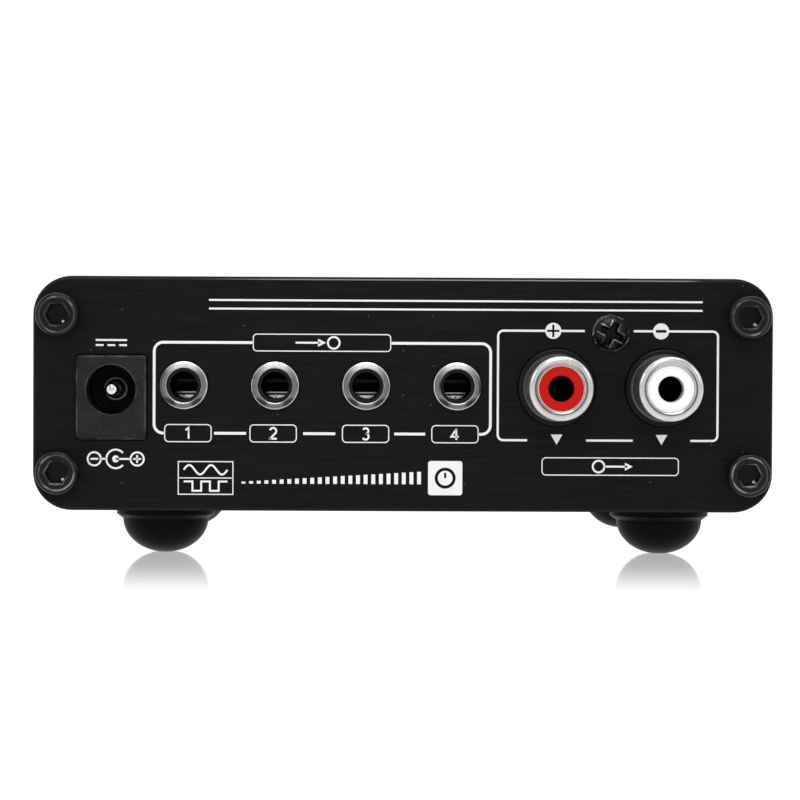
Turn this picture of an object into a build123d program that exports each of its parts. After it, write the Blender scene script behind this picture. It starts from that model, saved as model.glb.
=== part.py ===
from build123d import *
from math import cos, radians, sin, sqrt
import os

# A small audio source switch box with an extruded case.
# Millimetres, +Z up, floor at Z = 0. The front panel faces -Y and the rear panel faces +Y.
# On either panel, u runs to the right as one looks at that panel and v runs up from its middle.

# Case
case_width = 95.4
case_height = 30.2
case_corner_radius = 5.0
shell_length = 82.0
wall = 1.6
tongue_height = 1.2
joint_clearance = 0.1
panel_margin = 0.2
panel_edge_chamfer = 0.25
rear_panel_thickness = 2.0
front_panel_thickness = 3.0

# Panel screws and the ports that they go into
screw_side_inset = 3.25
screw_top_inset = 4.8
screw_shank_radius = 1.45
screw_reach = 8.0
screw_head_radius = 2.75
screw_head_height = 3.0
screw_head_round = 0.4
screw_hex_across_flats = 2.5
screw_hex_depth = 1.6
screw_mouth_radius = 1.65
screw_mouth_depth = 0.4
screw_mouth_taper = 45.0
thread_clearance = 0.05
screw_hole_clearance = 0.2
port_radius = 2.5

# Rubber feet
foot_flange_radius = 6.5
foot_flange_thickness = 1.6
foot_flange_bevel = 0.75
foot_flange_bevel_height = 0.55
foot_dome_radius = 5.65
foot_dome_height = 4.5
foot_rest_radius = 1.0
foot_side_inset = 14.9
foot_end_inset = 12.3
foot_shift_x = -1.5

# Circuit board, the slots that carry it, and the solder tails that go through it
board_thickness = 1.6
board_seat_gap = 0.1
board_slot_clearance = 0.05
board_side_gap = 0.2
board_end_gap = 0.3
rail_depth = 1.5
rail_thickness = 1.0
tail_radius = 0.4
tail_clearance = 0.15
tail_reach = 1.5

# Openings in the panels, and fits
opening_clearance = 0.15
press_gap = 0.02
running_clearance = 0.05

# Power jack
dc_margin_share = 0.103
dc_width = 9.0
dc_height = 10.8
dc_depth = 14.4
dc_proud = 0.8
dc_corner_radius = 0.4
dc_edge_chamfer = 0.25
dc_axis_height = 6.4
dc_bore_radius = 3.2
dc_bore_depth = 9.5
dc_pin_radius = 0.95
dc_pin_recess = 0.8
dc_pin_tip_round = 0.8
dc_stem_radius = 0.6
dc_boss_radius = 1.5
dc_boss_height = 1.2
dc_spring_width = 2.6
dc_spring_length = 4.6
dc_spring_inset = 4.0
dc_terminal_width = 3.0
leaf_thickness = 0.4
leaf_clearance = 0.1

# 3.5 mm jacks
line_in_count = 4
jack_row_share = 0.0415
jack_gap_share = 0.166
jack_width = 7.5
jack_height = 10.4
jack_depth = 13.0
jack_axis_height = 7.0
jack_bore_radius = 1.8
jack_bore_length = 9.0
jack_chamber_width = 4.4
jack_chamber_height = 5.0
jack_chamber_depth = 3.6
jack_nose_recess = 0.5
jack_leaf_width = 2.8
jack_leaf_inset = 0.6
jack_leaf_drop = 0.95
jack_leaf_bend = 1.4
jack_upper_leaf_rise = 0.5
jack_upper_leaf_gap = 1.2
jack_side_leaf_length = 4.0
jack_side_leaf_height = 3.2
ferrule_radius = 3.05
ferrule_bore_radius = 2.25
ferrule_proud = 0.8
ferrule_outer_chamfer = 0.25
ferrule_inner_chamfer = 0.15
line_out_inset = 28.5

# Phono sockets
phono_row_share = 0.138
phono_pitch = 13.8
phono_axis_height = 6.9
phono_reach = 9.4
phono_block_depth = 9.0
phono_block_margin = 0.6
phono_block_rise = 5.6
phono_collar_radius = 4.95
phono_collar_proud = 0.8
phono_collar_chamfer = 0.2
phono_barrel_radius = 4.1
phono_barrel_base_radius = 4.35
phono_barrel_seat = 2.5
phono_barrel_lip = 0.5
phono_insulator_radius = 2.97
phono_insulator_seat = 2.0
phono_insulator_recess = 0.25
phono_insulator_round = 0.2
phono_land_length = 3.0
phono_bore_radius = 1.65
phono_contact_radius = 2.15
phono_tail_width = 2.4
phono_tail_thickness = 0.6

# Cross-head screw between the phono sockets
phono_screw_height_share = 0.56
phono_screw_head_radius = 2.5
phono_screw_head_height = 1.9
phono_screw_shank_radius = 1.25
phono_screw_length = 7.5
phono_screw_slot_width = 0.9
phono_screw_slot_length = 3.2
phono_screw_slot_depth = 1.3
phono_screw_slot_taper = 12.0
phono_screw_core_radius = 0.85
phono_screw_turn = -26.0
phono_pillar_width = 8.0
phono_pillar_margin = 2.0

# Turning controls on the front
front_axis_height = 7.0
neck_radius = 3.5
neck_reach = 4.5
neck_chamfer = 0.4
bushing_plate_thickness = 1.2
control_case_rise = 5.5
nut_across_flats = 10.0
nut_thickness = 2.0
nut_chamfer = 0.4
shaft_radius = 3.0
shaft_flat_depth = 1.0
shaft_end_gap = 3.0
shaft_chamfer = 0.4
rotor_thickness = 1.5
rotor_gap = 0.3
rotor_wall = 0.9
knob_gap = 0.8
knob_recess_gap = 0.6
knob_chamfer = 1.0
knob_back_chamfer = 0.4
knob_grip_margin = 1.6
knob_flute_radius = 0.35
knob_line_width = 0.9
knob_line_length = 5.0
knob_line_depth = 0.4
grub_radius = 1.5
grub_sink = 0.8
grub_hex_across_flats = 1.5
grub_hex_depth = 1.2
volume_inset = 18.5
volume_case_width = 10.5
volume_case_depth = 8.0
volume_knob_radius = 8.5
volume_knob_length = 13.4
volume_knob_flutes = 44
volume_rest_angle = 0.0
selector_case_width = 12.0
selector_case_depth = 9.0
selector_knob_radius = 7.5
selector_knob_length = 12.0
selector_knob_flutes = 40
selector_rest_angle = -45.0

# Power toggle
toggle_inset = 11.5
toggle_case_width = 5.1
toggle_case_height = 8.1
toggle_case_depth = 8.0
toggle_bushing_radius = 2.5
toggle_bushing_reach = 5.0
toggle_mouth_radius = 2.05
toggle_throat_length = 0.8
toggle_nut_across_flats = 8.0
toggle_nut_thickness = 1.8
toggle_cavity_depth = 3.0
lever_pivot_reach = 1.5
lever_ball_radius = 1.5
lever_root_radius = 0.85
lever_tip_radius = 1.25
lever_length = 10.0
lever_tail_radius = 0.6
lever_tail_length = 3.6
lever_rest_tilt = 12.5

# Power light
light_inset = 19.5
light_radius = 1.5
light_flange_radius = 1.9
light_flange_thickness = 1.0
light_proud = 0.6
light_lead_thickness = 0.5
light_lead_pitch = 2.54
light_lead_run = 2.0

# Parts standing on the circuit board, placed from the board's middle
chip_length = 9.6
chip_width = 6.4
chip_height = 3.4
chip_pins_per_row = 4
chip_pin_pitch = 2.54
chip_row_pitch = 7.62
chip_lift = 0.5
chip_spacing = 24.0
chip_y = -6.0
can_count = 4
can_radius = 4.0
can_height = 11.5
can_edge_round = 0.6
can_lead_pitch = 3.5
can_spacing = 10.5
can_y = 9.0
film_count = 4
film_length = 7.2
film_width = 2.6
film_height = 6.6
film_edge_round = 0.3
film_lead_pitch = 5.0
film_spacing = 10.5
film_y = -15.5
regulator_inset = 10.1
regulator_y = -12.0
regulator_width = 10.0
regulator_body_thickness = 4.5
regulator_body_length = 9.0
regulator_tab_thickness = 1.3
regulator_tab_length = 15.5
regulator_hole_radius = 1.8
regulator_lead_pitch = 2.54
regulator_lead_run = 2.0
regulator_lead_rise = 2.2

# Places worked out from the sizes above
foot_height = foot_flange_thickness + foot_dome_height
panel_width = case_width - 2 * panel_margin
panel_height = case_height - 2 * panel_margin
panel_corner_radius = case_corner_radius - panel_margin
volume_reach = knob_gap + volume_knob_length
overall_depth = volume_reach + front_panel_thickness + shell_length + rear_panel_thickness + phono_reach
rear_face_y = overall_depth / 2 - phono_reach
shell_rear_y = rear_face_y - rear_panel_thickness
shell_front_y = shell_rear_y - shell_length
front_face_y = shell_front_y - front_panel_thickness
shell_middle_y = (shell_front_y + shell_rear_y) / 2
middle_z = foot_height + case_height / 2
screw_u = panel_width / 2 - screw_side_inset
screw_v = panel_height / 2 - screw_top_inset
screw_points = [(-screw_u, screw_v), (screw_u, screw_v), (-screw_u, -screw_v), (screw_u, -screw_v)]
board_bottom_v = -screw_v + port_radius + board_seat_gap
board_top_v = board_bottom_v + board_thickness
board_top_z = middle_z + board_top_v
inner_half_width = case_width / 2 - wall
inner_height = case_height - 2 * wall
row_half_width = inner_half_width - rail_depth
phono_block_width = phono_pitch + 2 * (phono_collar_radius + phono_block_margin)
free_width = 2 * row_half_width - dc_width - line_in_count * jack_width - phono_block_width
dc_u = -row_half_width + dc_margin_share * free_width + dc_width / 2
dc_axis_v = board_top_v + dc_axis_height
jack_axis_v = board_top_v + jack_axis_height
jack_pitch = jack_width + jack_gap_share * free_width
jack_row_u = dc_u + dc_width / 2 + jack_row_share * free_width + jack_width / 2
line_in_points = [(jack_row_u + jack_pitch * i, jack_axis_v) for i in range(line_in_count)]
phono_left_u = line_in_points[-1][0] + jack_width / 2 + phono_row_share * free_width
phono_u = phono_left_u + phono_block_width / 2
phono_axis_v = board_top_v + phono_axis_height
phono_points = [(phono_u - phono_pitch / 2, phono_axis_v), (phono_u + phono_pitch / 2, phono_axis_v)]
phono_screw_rise = phono_screw_height_share * (inner_height / 2 - phono_axis_v)
phono_screw_point = (phono_u, phono_axis_v + phono_screw_rise)
toggle_u = -panel_width / 2 + toggle_inset
light_u = -panel_width / 2 + light_inset
line_out_u = -panel_width / 2 + line_out_inset
volume_u = panel_width / 2 - volume_inset
selector_u = (line_out_u + ferrule_radius + volume_u - volume_knob_radius) / 2
front_axis_v = board_top_v + front_axis_height
front_axis_z = middle_z + front_axis_v

# Places of the solder tails, gathered as the pieces are made, for the holes in the circuit board
board_holes = []

os.makedirs("parts", exist_ok=True)


def rear_plane(inward=0.0):
    """The rear panel's outer face, or a plane that far inside it."""
    return Plane(origin=(0, rear_face_y - inward, middle_z), x_dir=(-1, 0, 0), z_dir=(0, 1, 0))


def front_plane(inward=0.0):
    """The front panel's outer face, or a plane that far inside it."""
    return Plane(origin=(0, front_face_y + inward, middle_z), x_dir=(1, 0, 0), z_dir=(0, -1, 0))


def outward_axis(plane):
    """The direction that a panel faces, for sorting edges and faces by how far out they lie."""
    return Axis(plane.origin, plane.z_dir)


def write_piece(part, name):
    """Label a finished piece and write it as a file of its own."""
    part.label = name
    export_step(part, f"parts/{name}.step")


def add_tails(points, rise=0.0):
    """Solder tails from a height above the board down through it, and the holes for them."""
    with Locations(*[(x, y, board_top_z + rise) for x, y in points]):
        Cylinder(
            tail_radius,
            rise + board_thickness + tail_reach,
            align=(Align.CENTER, Align.CENTER, Align.MAX),
        )
    board_holes.extend(points)


# Extruded shells
section_plane = Plane(origin=(0, shell_front_y, middle_z), x_dir=(-1, 0, 0), z_dir=(0, 1, 0))
tongue_thickness = wall / 2 - joint_clearance
rebate_depth = tongue_thickness + joint_clearance
rail_width = rail_depth + wall / 2
rail_u = inner_half_width - rail_depth + rail_width / 2

with BuildPart() as lower_shell:
    with BuildSketch(section_plane):
        RectangleRounded(case_width, case_height, case_corner_radius)
        RectangleRounded(2 * inner_half_width, inner_height, case_corner_radius - wall, mode=Mode.SUBTRACT)
        with Locations((0, -case_height / 4)):
            Rectangle(case_width, case_height / 2, mode=Mode.INTERSECT)
        for side in (-1, 1):
            with Locations((side * screw_u, -screw_v)):
                Circle(port_radius)
            with Locations((side * rail_u, board_top_v + board_slot_clearance)):
                Rectangle(rail_width, rail_thickness, align=(Align.CENTER, Align.MIN))
            with Locations((side * rail_u, board_bottom_v - board_slot_clearance)):
                Rectangle(rail_width, rail_thickness, align=(Align.CENTER, Align.MAX))
            with Locations((side * (inner_half_width + tongue_thickness / 2), 0)):
                Rectangle(tongue_thickness, 2 * tongue_height)
            with Locations((side * screw_u, -screw_v)):
                Circle(screw_shank_radius + thread_clearance, mode=Mode.SUBTRACT)
    extrude(amount=shell_length)
write_piece(lower_shell.part, "lower_shell")

with BuildPart() as upper_shell:
    with BuildSketch(section_plane):
        RectangleRounded(case_width, case_height, case_corner_radius)
        RectangleRounded(2 * inner_half_width, inner_height, case_corner_radius - wall, mode=Mode.SUBTRACT)
        with Locations((0, case_height / 4)):
            Rectangle(case_width, case_height / 2, mode=Mode.INTERSECT)
        for side in (-1, 1):
            with Locations((side * screw_u, screw_v)):
                Circle(port_radius)
                Circle(screw_shank_radius + thread_clearance, mode=Mode.SUBTRACT)
        rebate_width = 2 * (inner_half_width + rebate_depth)
        Rectangle(rebate_width, 2 * (tongue_height + joint_clearance), mode=Mode.SUBTRACT)
    extrude(amount=shell_length)
write_piece(upper_shell.part, "upper_shell")

# Rear panel, with openings for everything that comes through it
dc_face_v = board_top_v + dc_height / 2
with BuildPart() as rear_panel:
    with BuildSketch(rear_plane()):
        RectangleRounded(panel_width, panel_height, panel_corner_radius)
    extrude(amount=-rear_panel_thickness)
    chamfer(rear_panel.faces().sort_by(Axis.Y)[-1].edges(), panel_edge_chamfer)
    with BuildSketch(rear_plane()):
        with Locations(*screw_points):
            Circle(screw_shank_radius + screw_hole_clearance)
        with Locations((dc_u, dc_face_v)):
            RectangleRounded(
                dc_width + 2 * opening_clearance,
                dc_height + 2 * opening_clearance,
                dc_corner_radius + opening_clearance,
            )
        with Locations(*line_in_points):
            Circle(ferrule_radius + opening_clearance)
        with Locations(*phono_points):
            Circle(phono_collar_radius + opening_clearance)
        with Locations(phono_screw_point):
            Circle(phono_screw_shank_radius + screw_hole_clearance)
    extrude(amount=-rear_panel_thickness, mode=Mode.SUBTRACT)
write_piece(rear_panel.part, "rear_panel")

# Front panel, with openings for the controls
with BuildPart() as front_panel:
    with BuildSketch(front_plane()):
        RectangleRounded(panel_width, panel_height, panel_corner_radius)
    extrude(amount=-front_panel_thickness)
    chamfer(front_panel.faces().sort_by(Axis.Y)[0].edges(), panel_edge_chamfer)
    with BuildSketch(front_plane()):
        with Locations(*screw_points):
            Circle(screw_shank_radius + screw_hole_clearance)
        with Locations((volume_u, front_axis_v), (selector_u, front_axis_v)):
            Circle(neck_radius + opening_clearance)
        with Locations((toggle_u, front_axis_v)):
            Circle(toggle_bushing_radius + opening_clearance)
        with Locations((light_u, front_axis_v)):
            Circle(light_radius + opening_clearance)
        with Locations((line_out_u, jack_axis_v)):
            Circle(ferrule_radius + opening_clearance)
    extrude(amount=-front_panel_thickness, mode=Mode.SUBTRACT)
write_piece(front_panel.part, "front_panel")


def make_panel_screws(name, face, panel_thickness):
    """Four hex-socket cap screws that hold one panel to the ports of the shells."""
    with BuildPart() as screws:
        with BuildSketch(face):
            with Locations(*screw_points):
                Circle(screw_head_radius)
        extrude(amount=screw_head_height)
        rims = screws.edges().filter_by(GeomType.CIRCLE).group_by(outward_axis(face))[-1]
        fillet(rims, screw_head_round)
        with BuildSketch(face.offset(screw_head_height)):
            with Locations(*screw_points):
                RegularPolygon(screw_hex_across_flats / 2, 6, major_radius=False)
        extrude(amount=-screw_hex_depth, mode=Mode.SUBTRACT)
        with BuildSketch(face.offset(screw_head_height)):
            with Locations(*screw_points):
                Circle(screw_mouth_radius)
        extrude(amount=-screw_mouth_depth, taper=screw_mouth_taper, mode=Mode.SUBTRACT)
        with BuildSketch(face):
            with Locations(*screw_points):
                Circle(screw_shank_radius)
        extrude(amount=-(panel_thickness + screw_reach))
    write_piece(screws.part, name)


make_panel_screws("rear_panel_screws", rear_plane(), rear_panel_thickness)
make_panel_screws("front_panel_screws", front_plane(), front_panel_thickness)


def make_foot(name, x, y):
    """A rubber foot: a bevelled flange against the case and a dome with a small flat to stand on."""
    dome_depth = foot_dome_height / sqrt(1 - (foot_rest_radius / foot_dome_radius) ** 2)
    with BuildPart() as foot:
        with BuildSketch(Plane(origin=(x, y, 0), x_dir=(1, 0, 0), z_dir=(0, -1, 0))):
            with Locations((0, foot_dome_height)):
                Ellipse(foot_dome_radius, dome_depth)
            Rectangle(foot_dome_radius, foot_dome_height, align=(Align.MIN, Align.MIN), mode=Mode.INTERSECT)
            with BuildLine():
                Polyline(
                    (0, foot_dome_height),
                    (foot_flange_radius - foot_flange_bevel, foot_dome_height),
                    (foot_flange_radius, foot_dome_height + foot_flange_bevel_height),
                    (foot_flange_radius, foot_height),
                    (0, foot_height),
                    close=True,
                )
            make_face()
        revolve(axis=Axis((x, y, 0), (0, 0, 1)))
    write_piece(foot.part, name)


for x_name, x_side in (("left", -1), ("right", 1)):
    for y_name, y_side in (("front", -1), ("rear", 1)):
        foot_x = foot_shift_x + x_side * (case_width / 2 - foot_side_inset)
        foot_y = shell_middle_y + y_side * (shell_length / 2 - foot_end_inset)
        make_foot(f"foot_{y_name}_{x_name}", foot_x, foot_y)

# Power jack
dc_x = -dc_u
dc_axis_z = middle_z + dc_axis_v
dc_rear_y = rear_face_y + dc_proud - dc_depth
dc_spring_y = rear_face_y - dc_spring_inset
dc_spring_z = dc_axis_z - dc_bore_radius - leaf_clearance - leaf_thickness / 2

with BuildPart() as dc_jack_housing:
    with BuildSketch(rear_plane(-dc_proud)):
        with Locations((dc_u, dc_face_v)):
            RectangleRounded(dc_width, dc_height, dc_corner_radius)
    extrude(amount=-dc_depth)
    chamfer(dc_jack_housing.faces().sort_by(Axis.Y)[-1].edges(), dc_edge_chamfer)
    with BuildSketch(rear_plane(-dc_proud)):
        with Locations((dc_u, dc_axis_v)):
            Circle(dc_bore_radius)
    extrude(amount=-dc_bore_depth, mode=Mode.SUBTRACT)
    with BuildSketch(rear_plane(dc_bore_depth - dc_proud)):
        with Locations((dc_u, dc_axis_v)):
            Circle(dc_boss_radius)
    extrude(amount=dc_boss_height)
    with BuildSketch(rear_plane(dc_bore_depth - dc_proud)):
        with Locations((dc_u, dc_axis_v)):
            Circle(dc_stem_radius + press_gap)
    extrude(amount=dc_depth - dc_bore_depth, both=True, mode=Mode.SUBTRACT)
    with Locations((dc_x, dc_spring_y, board_top_z)):
        Box(
            dc_spring_width + 2 * leaf_clearance,
            dc_spring_length + 2 * leaf_clearance,
            dc_axis_height,
            align=(Align.CENTER, Align.CENTER, Align.MIN),
            mode=Mode.SUBTRACT,
        )
write_piece(dc_jack_housing.part, "dc_jack_housing")

dc_shoulder_depth = dc_bore_depth - dc_boss_height
with BuildPart() as dc_jack_pin:
    with BuildSketch(rear_plane(dc_shoulder_depth - dc_proud)):
        with Locations((dc_u, dc_axis_v)):
            Circle(dc_pin_radius)
    extrude(amount=dc_shoulder_depth - dc_pin_recess)
    fillet(dc_jack_pin.faces().sort_by(Axis.Y)[-1].edges(), dc_pin_tip_round)
    with BuildSketch(rear_plane(dc_depth - dc_proud)):
        with Locations((dc_u, dc_axis_v)):
            Circle(dc_stem_radius)
    extrude(amount=dc_depth - dc_shoulder_depth)
write_piece(dc_jack_pin.part, "dc_jack_pin")

with BuildPart() as dc_jack_contacts:
    with Locations((dc_x, dc_spring_y, dc_spring_z)):
        Box(dc_spring_width, dc_spring_length, leaf_thickness)
    add_tails([(dc_x, dc_spring_y)], rise=dc_spring_z - board_top_z)
    with Locations((dc_x, dc_rear_y, board_top_z)):
        Box(
            dc_terminal_width,
            2 * tail_radius,
            dc_axis_height + dc_boss_radius,
            align=(Align.CENTER, Align.MAX, Align.MIN),
        )
    add_tails([(dc_x, dc_rear_y - tail_radius)], rise=tail_radius)
write_piece(dc_jack_contacts.part, "dc_jack_contacts")


def make_jack(prefix, suffix, face, u, panel_thickness):
    """One 3.5 mm jack behind a panel: moulded housing, bright ring and contacts."""
    seat = face.offset(-panel_thickness)
    nose_length = panel_thickness + ferrule_proud - jack_nose_recess
    chamber = seat.offset(nose_length - jack_bore_length)
    leaf = chamber.from_local_coords((u, jack_axis_v, -jack_leaf_inset))
    leaf_rise = jack_axis_height - jack_leaf_drop
    chamber_floor = jack_axis_height - jack_chamber_height / 2
    side_y = seat.from_local_coords((u, 0, -jack_depth / 2)).Y
    side_xs = [leaf.X + side * (jack_width / 2 - tail_radius) for side in (-1, 1)]
    with BuildPart() as housing:
        with BuildSketch(seat):
            with Locations((u, board_top_v + jack_height / 2)):
                Rectangle(jack_width, jack_height)
        extrude(amount=-jack_depth)
        with BuildSketch(seat):
            with Locations((u, jack_axis_v)):
                Circle(ferrule_bore_radius - press_gap)
        extrude(amount=nose_length)
        with BuildSketch(seat.offset(nose_length)):
            with Locations((u, jack_axis_v)):
                Circle(jack_bore_radius)
        extrude(amount=-jack_bore_length, mode=Mode.SUBTRACT)
        with BuildSketch(chamber):
            with Locations((u, jack_axis_v)):
                Rectangle(jack_chamber_width, jack_chamber_height)
        extrude(amount=-jack_chamber_depth, mode=Mode.SUBTRACT)
        with Locations((leaf.X, leaf.Y, board_top_z)):
            Cylinder(
                tail_radius + tail_clearance,
                jack_axis_height,
                align=(Align.CENTER, Align.CENTER, Align.MIN),
                mode=Mode.SUBTRACT,
            )
        with Locations(*[(x, side_y, board_top_z) for x in side_xs]):
            Box(
                2 * tail_radius + 2 * press_gap,
                jack_side_leaf_length + 2 * leaf_clearance,
                jack_side_leaf_height + leaf_clearance,
                align=(Align.CENTER, Align.CENTER, Align.MIN),
                mode=Mode.SUBTRACT,
            )
    write_piece(housing.part, f"{prefix}_housing{suffix}")

    with BuildPart() as ferrule:
        with BuildSketch(seat):
            with Locations((u, jack_axis_v)):
                Circle(ferrule_radius)
                Circle(ferrule_bore_radius, mode=Mode.SUBTRACT)
        extrude(amount=panel_thickness + ferrule_proud)
        rims = ferrule.edges().filter_by(GeomType.CIRCLE).group_by(outward_axis(face))[-1]
        chamfer(rims.sort_by(SortBy.RADIUS)[-1], ferrule_outer_chamfer)
        rims = ferrule.edges().filter_by(GeomType.CIRCLE).group_by(outward_axis(face))[-1]
        chamfer(rims.sort_by(SortBy.RADIUS)[0], ferrule_inner_chamfer)
    write_piece(ferrule.part, f"{prefix}_ferrule{suffix}")

    with BuildPart() as contacts:
        with BuildSketch(chamber.offset(-jack_leaf_inset + leaf_thickness / 2)):
            with Locations((u, board_top_v + chamber_floor + leaf_clearance)):
                Rectangle(
                    jack_leaf_width,
                    leaf_rise - chamber_floor - leaf_clearance,
                    align=(Align.CENTER, Align.MIN),
                )
        extrude(amount=-leaf_thickness)
        with BuildSketch(chamber.offset(-jack_leaf_inset + leaf_thickness / 2)):
            with Locations((u, board_top_v + leaf_rise)):
                Rectangle(jack_leaf_width, leaf_thickness, align=(Align.CENTER, Align.MAX))
        extrude(amount=-jack_leaf_bend)
        add_tails([(leaf.X, leaf.Y)], rise=chamber_floor + leaf_clearance + leaf_thickness)
        with BuildSketch(chamber.offset(-jack_chamber_depth)):
            with Locations((u, jack_axis_v + jack_upper_leaf_rise)):
                Rectangle(jack_leaf_width, leaf_thickness)
        extrude(amount=jack_chamber_depth - jack_upper_leaf_gap)
        with Locations(*[(x, side_y, board_top_z) for x in side_xs]):
            Box(
                2 * tail_radius,
                jack_side_leaf_length,
                jack_side_leaf_height,
                align=(Align.CENTER, Align.CENTER, Align.MIN),
            )
        add_tails([(x, side_y) for x in side_xs], rise=tail_radius)
    write_piece(contacts.part, f"{prefix}_contacts{suffix}")


for number, point in enumerate(line_in_points, start=1):
    make_jack("line_in", f"_{number}", rear_plane(), point[0], rear_panel_thickness)
make_jack("line_out", "", front_plane(), line_out_u, front_panel_thickness)

# Phono block, with a collar for each socket and a pillar for the screw
phono_seat = rear_plane(rear_panel_thickness)
phono_collar_length = rear_panel_thickness + phono_collar_proud
phono_barrel_depth = rear_panel_thickness + phono_barrel_seat
phono_insulator_depth = phono_barrel_depth + phono_insulator_seat
phono_contact_length = phono_block_depth + rear_panel_thickness + phono_reach
phono_contact_length -= phono_insulator_recess + phono_land_length

with BuildPart() as phono_block:
    with BuildSketch(phono_seat):
        with Locations((phono_u, board_top_v)):
            Rectangle(
                phono_block_width,
                phono_axis_height + phono_block_rise,
                align=(Align.CENTER, Align.MIN),
            )
            Rectangle(
                phono_pillar_width,
                phono_axis_height + phono_screw_rise + phono_pillar_margin,
                align=(Align.CENTER, Align.MIN),
            )
    extrude(amount=-phono_block_depth)
    with BuildSketch(phono_seat):
        with Locations(*phono_points):
            Circle(phono_collar_radius)
    extrude(amount=phono_collar_length)
    collar_rims = phono_block.edges().filter_by(GeomType.CIRCLE).group_by(Axis.Y)[-1]
    chamfer(collar_rims, phono_collar_chamfer)
    with BuildSketch(rear_plane(-phono_collar_proud)):
        with Locations(*phono_points):
            Circle(phono_barrel_base_radius + press_gap)
    extrude(amount=-(phono_collar_proud + phono_barrel_depth), mode=Mode.SUBTRACT)
    with BuildSketch(rear_plane(phono_barrel_depth)):
        with Locations(*phono_points):
            Circle(phono_insulator_radius + press_gap)
    extrude(amount=-phono_insulator_seat, mode=Mode.SUBTRACT)
    with BuildSketch(rear_plane(phono_insulator_depth)):
        with Locations(*phono_points):
            Circle(phono_contact_radius + press_gap)
    extrude(amount=-phono_block_depth, mode=Mode.SUBTRACT)
    with BuildSketch(phono_seat):
        with Locations(phono_screw_point):
            Circle(phono_screw_shank_radius + thread_clearance)
    extrude(amount=-phono_screw_length, mode=Mode.SUBTRACT)
write_piece(phono_block.part, "phono_block")


def make_phono_socket(channel, point):
    """The metal barrel, coloured insulator and centre contact of one phono socket."""
    axis_x = -point[0]
    face_edge = phono_reach - phono_insulator_recess
    with BuildPart() as barrel:
        with BuildSketch(rear_plane(phono_barrel_depth)):
            with Locations(point):
                Circle(phono_barrel_base_radius)
        extrude(amount=phono_barrel_depth + phono_collar_proud)
        with BuildSketch(rear_plane(phono_barrel_depth)):
            with Locations(point):
                Circle(phono_barrel_radius)
        extrude(amount=phono_barrel_depth + phono_reach)
        with BuildSketch(rear_plane(phono_barrel_depth)):
            with Locations(point):
                Circle(phono_insulator_radius + press_gap)
        extrude(amount=phono_barrel_depth + phono_reach, mode=Mode.SUBTRACT)
        rims = barrel.edges().filter_by(GeomType.CIRCLE).group_by(Axis.Y)[-1]
        fillet(rims.sort_by(SortBy.RADIUS)[-1], phono_barrel_lip)
        rims = barrel.edges().filter_by(GeomType.CIRCLE).group_by(Axis.Y)[-1]
        chamfer(rims.sort_by(SortBy.RADIUS)[0], phono_insulator_recess)
    write_piece(barrel.part, f"phono_barrel_{channel}")

    with BuildPart() as insulator:
        with BuildSketch(rear_plane(phono_insulator_depth)):
            with Locations(point):
                Circle(phono_insulator_radius)
        extrude(amount=phono_insulator_depth + face_edge)
        rim = insulator.edges().filter_by(GeomType.CIRCLE).group_by(Axis.Y)[-1]
        fillet(rim, phono_insulator_round)
        with BuildSketch(rear_plane(-face_edge)):
            with Locations(point):
                Circle(phono_bore_radius)
        extrude(amount=-phono_land_length, mode=Mode.SUBTRACT)
        with BuildSketch(rear_plane(phono_land_length - face_edge)):
            with Locations(point):
                Circle(phono_contact_radius + press_gap)
        extrude(amount=-(phono_insulator_depth + face_edge), mode=Mode.SUBTRACT)
    write_piece(insulator.part, f"phono_insulator_{channel}")

    with BuildPart() as contact:
        with BuildSketch(rear_plane(phono_land_length - face_edge)):
            with Locations(point):
                Circle(phono_contact_radius)
        extrude(amount=-phono_contact_length)
        with BuildSketch(rear_plane(phono_land_length - face_edge)):
            with Locations(point):
                Circle(phono_bore_radius)
        extrude(amount=-(phono_contact_length - phono_tail_thickness), mode=Mode.SUBTRACT)
        tail_y = shell_rear_y - phono_block_depth - tail_radius
        with Locations((axis_x, shell_rear_y - phono_block_depth, board_top_z)):
            Box(
                phono_tail_width,
                phono_tail_thickness,
                phono_axis_height + phono_contact_radius,
                align=(Align.CENTER, Align.MAX, Align.MIN),
            )
        add_tails([(axis_x, tail_y)], rise=tail_radius)
    write_piece(contact.part, f"phono_contact_{channel}")


make_phono_socket("right", phono_points[0])
make_phono_socket("left", phono_points[1])

# Cross-head screw that holds the phono block to the panel
phono_screw_crown = (phono_screw_head_radius**2 + phono_screw_head_height**2) / (2 * phono_screw_head_height)
with BuildPart() as phono_screw:
    with BuildSketch(rear_plane()):
        with Locations(phono_screw_point):
            Circle(phono_screw_head_radius)
    extrude(amount=phono_screw_head_height)
    crown_y = rear_face_y + phono_screw_head_height - phono_screw_crown
    with Locations((-phono_screw_point[0], crown_y, middle_z + phono_screw_point[1])):
        Sphere(phono_screw_crown, mode=Mode.INTERSECT)
    with BuildSketch(rear_plane(-phono_screw_head_height)):
        with Locations(phono_screw_point):
            Rectangle(phono_screw_slot_width, phono_screw_slot_length, rotation=phono_screw_turn)
            Rectangle(phono_screw_slot_length, phono_screw_slot_width, rotation=phono_screw_turn)
            Circle(phono_screw_core_radius)
    extrude(amount=-phono_screw_slot_depth, taper=phono_screw_slot_taper, mode=Mode.SUBTRACT)
    with BuildSketch(rear_plane()):
        with Locations(phono_screw_point):
            Circle(phono_screw_shank_radius)
    extrude(amount=-(phono_screw_length + rear_panel_thickness - thread_clearance))
write_piece(phono_screw.part, "phono_screw")


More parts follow.
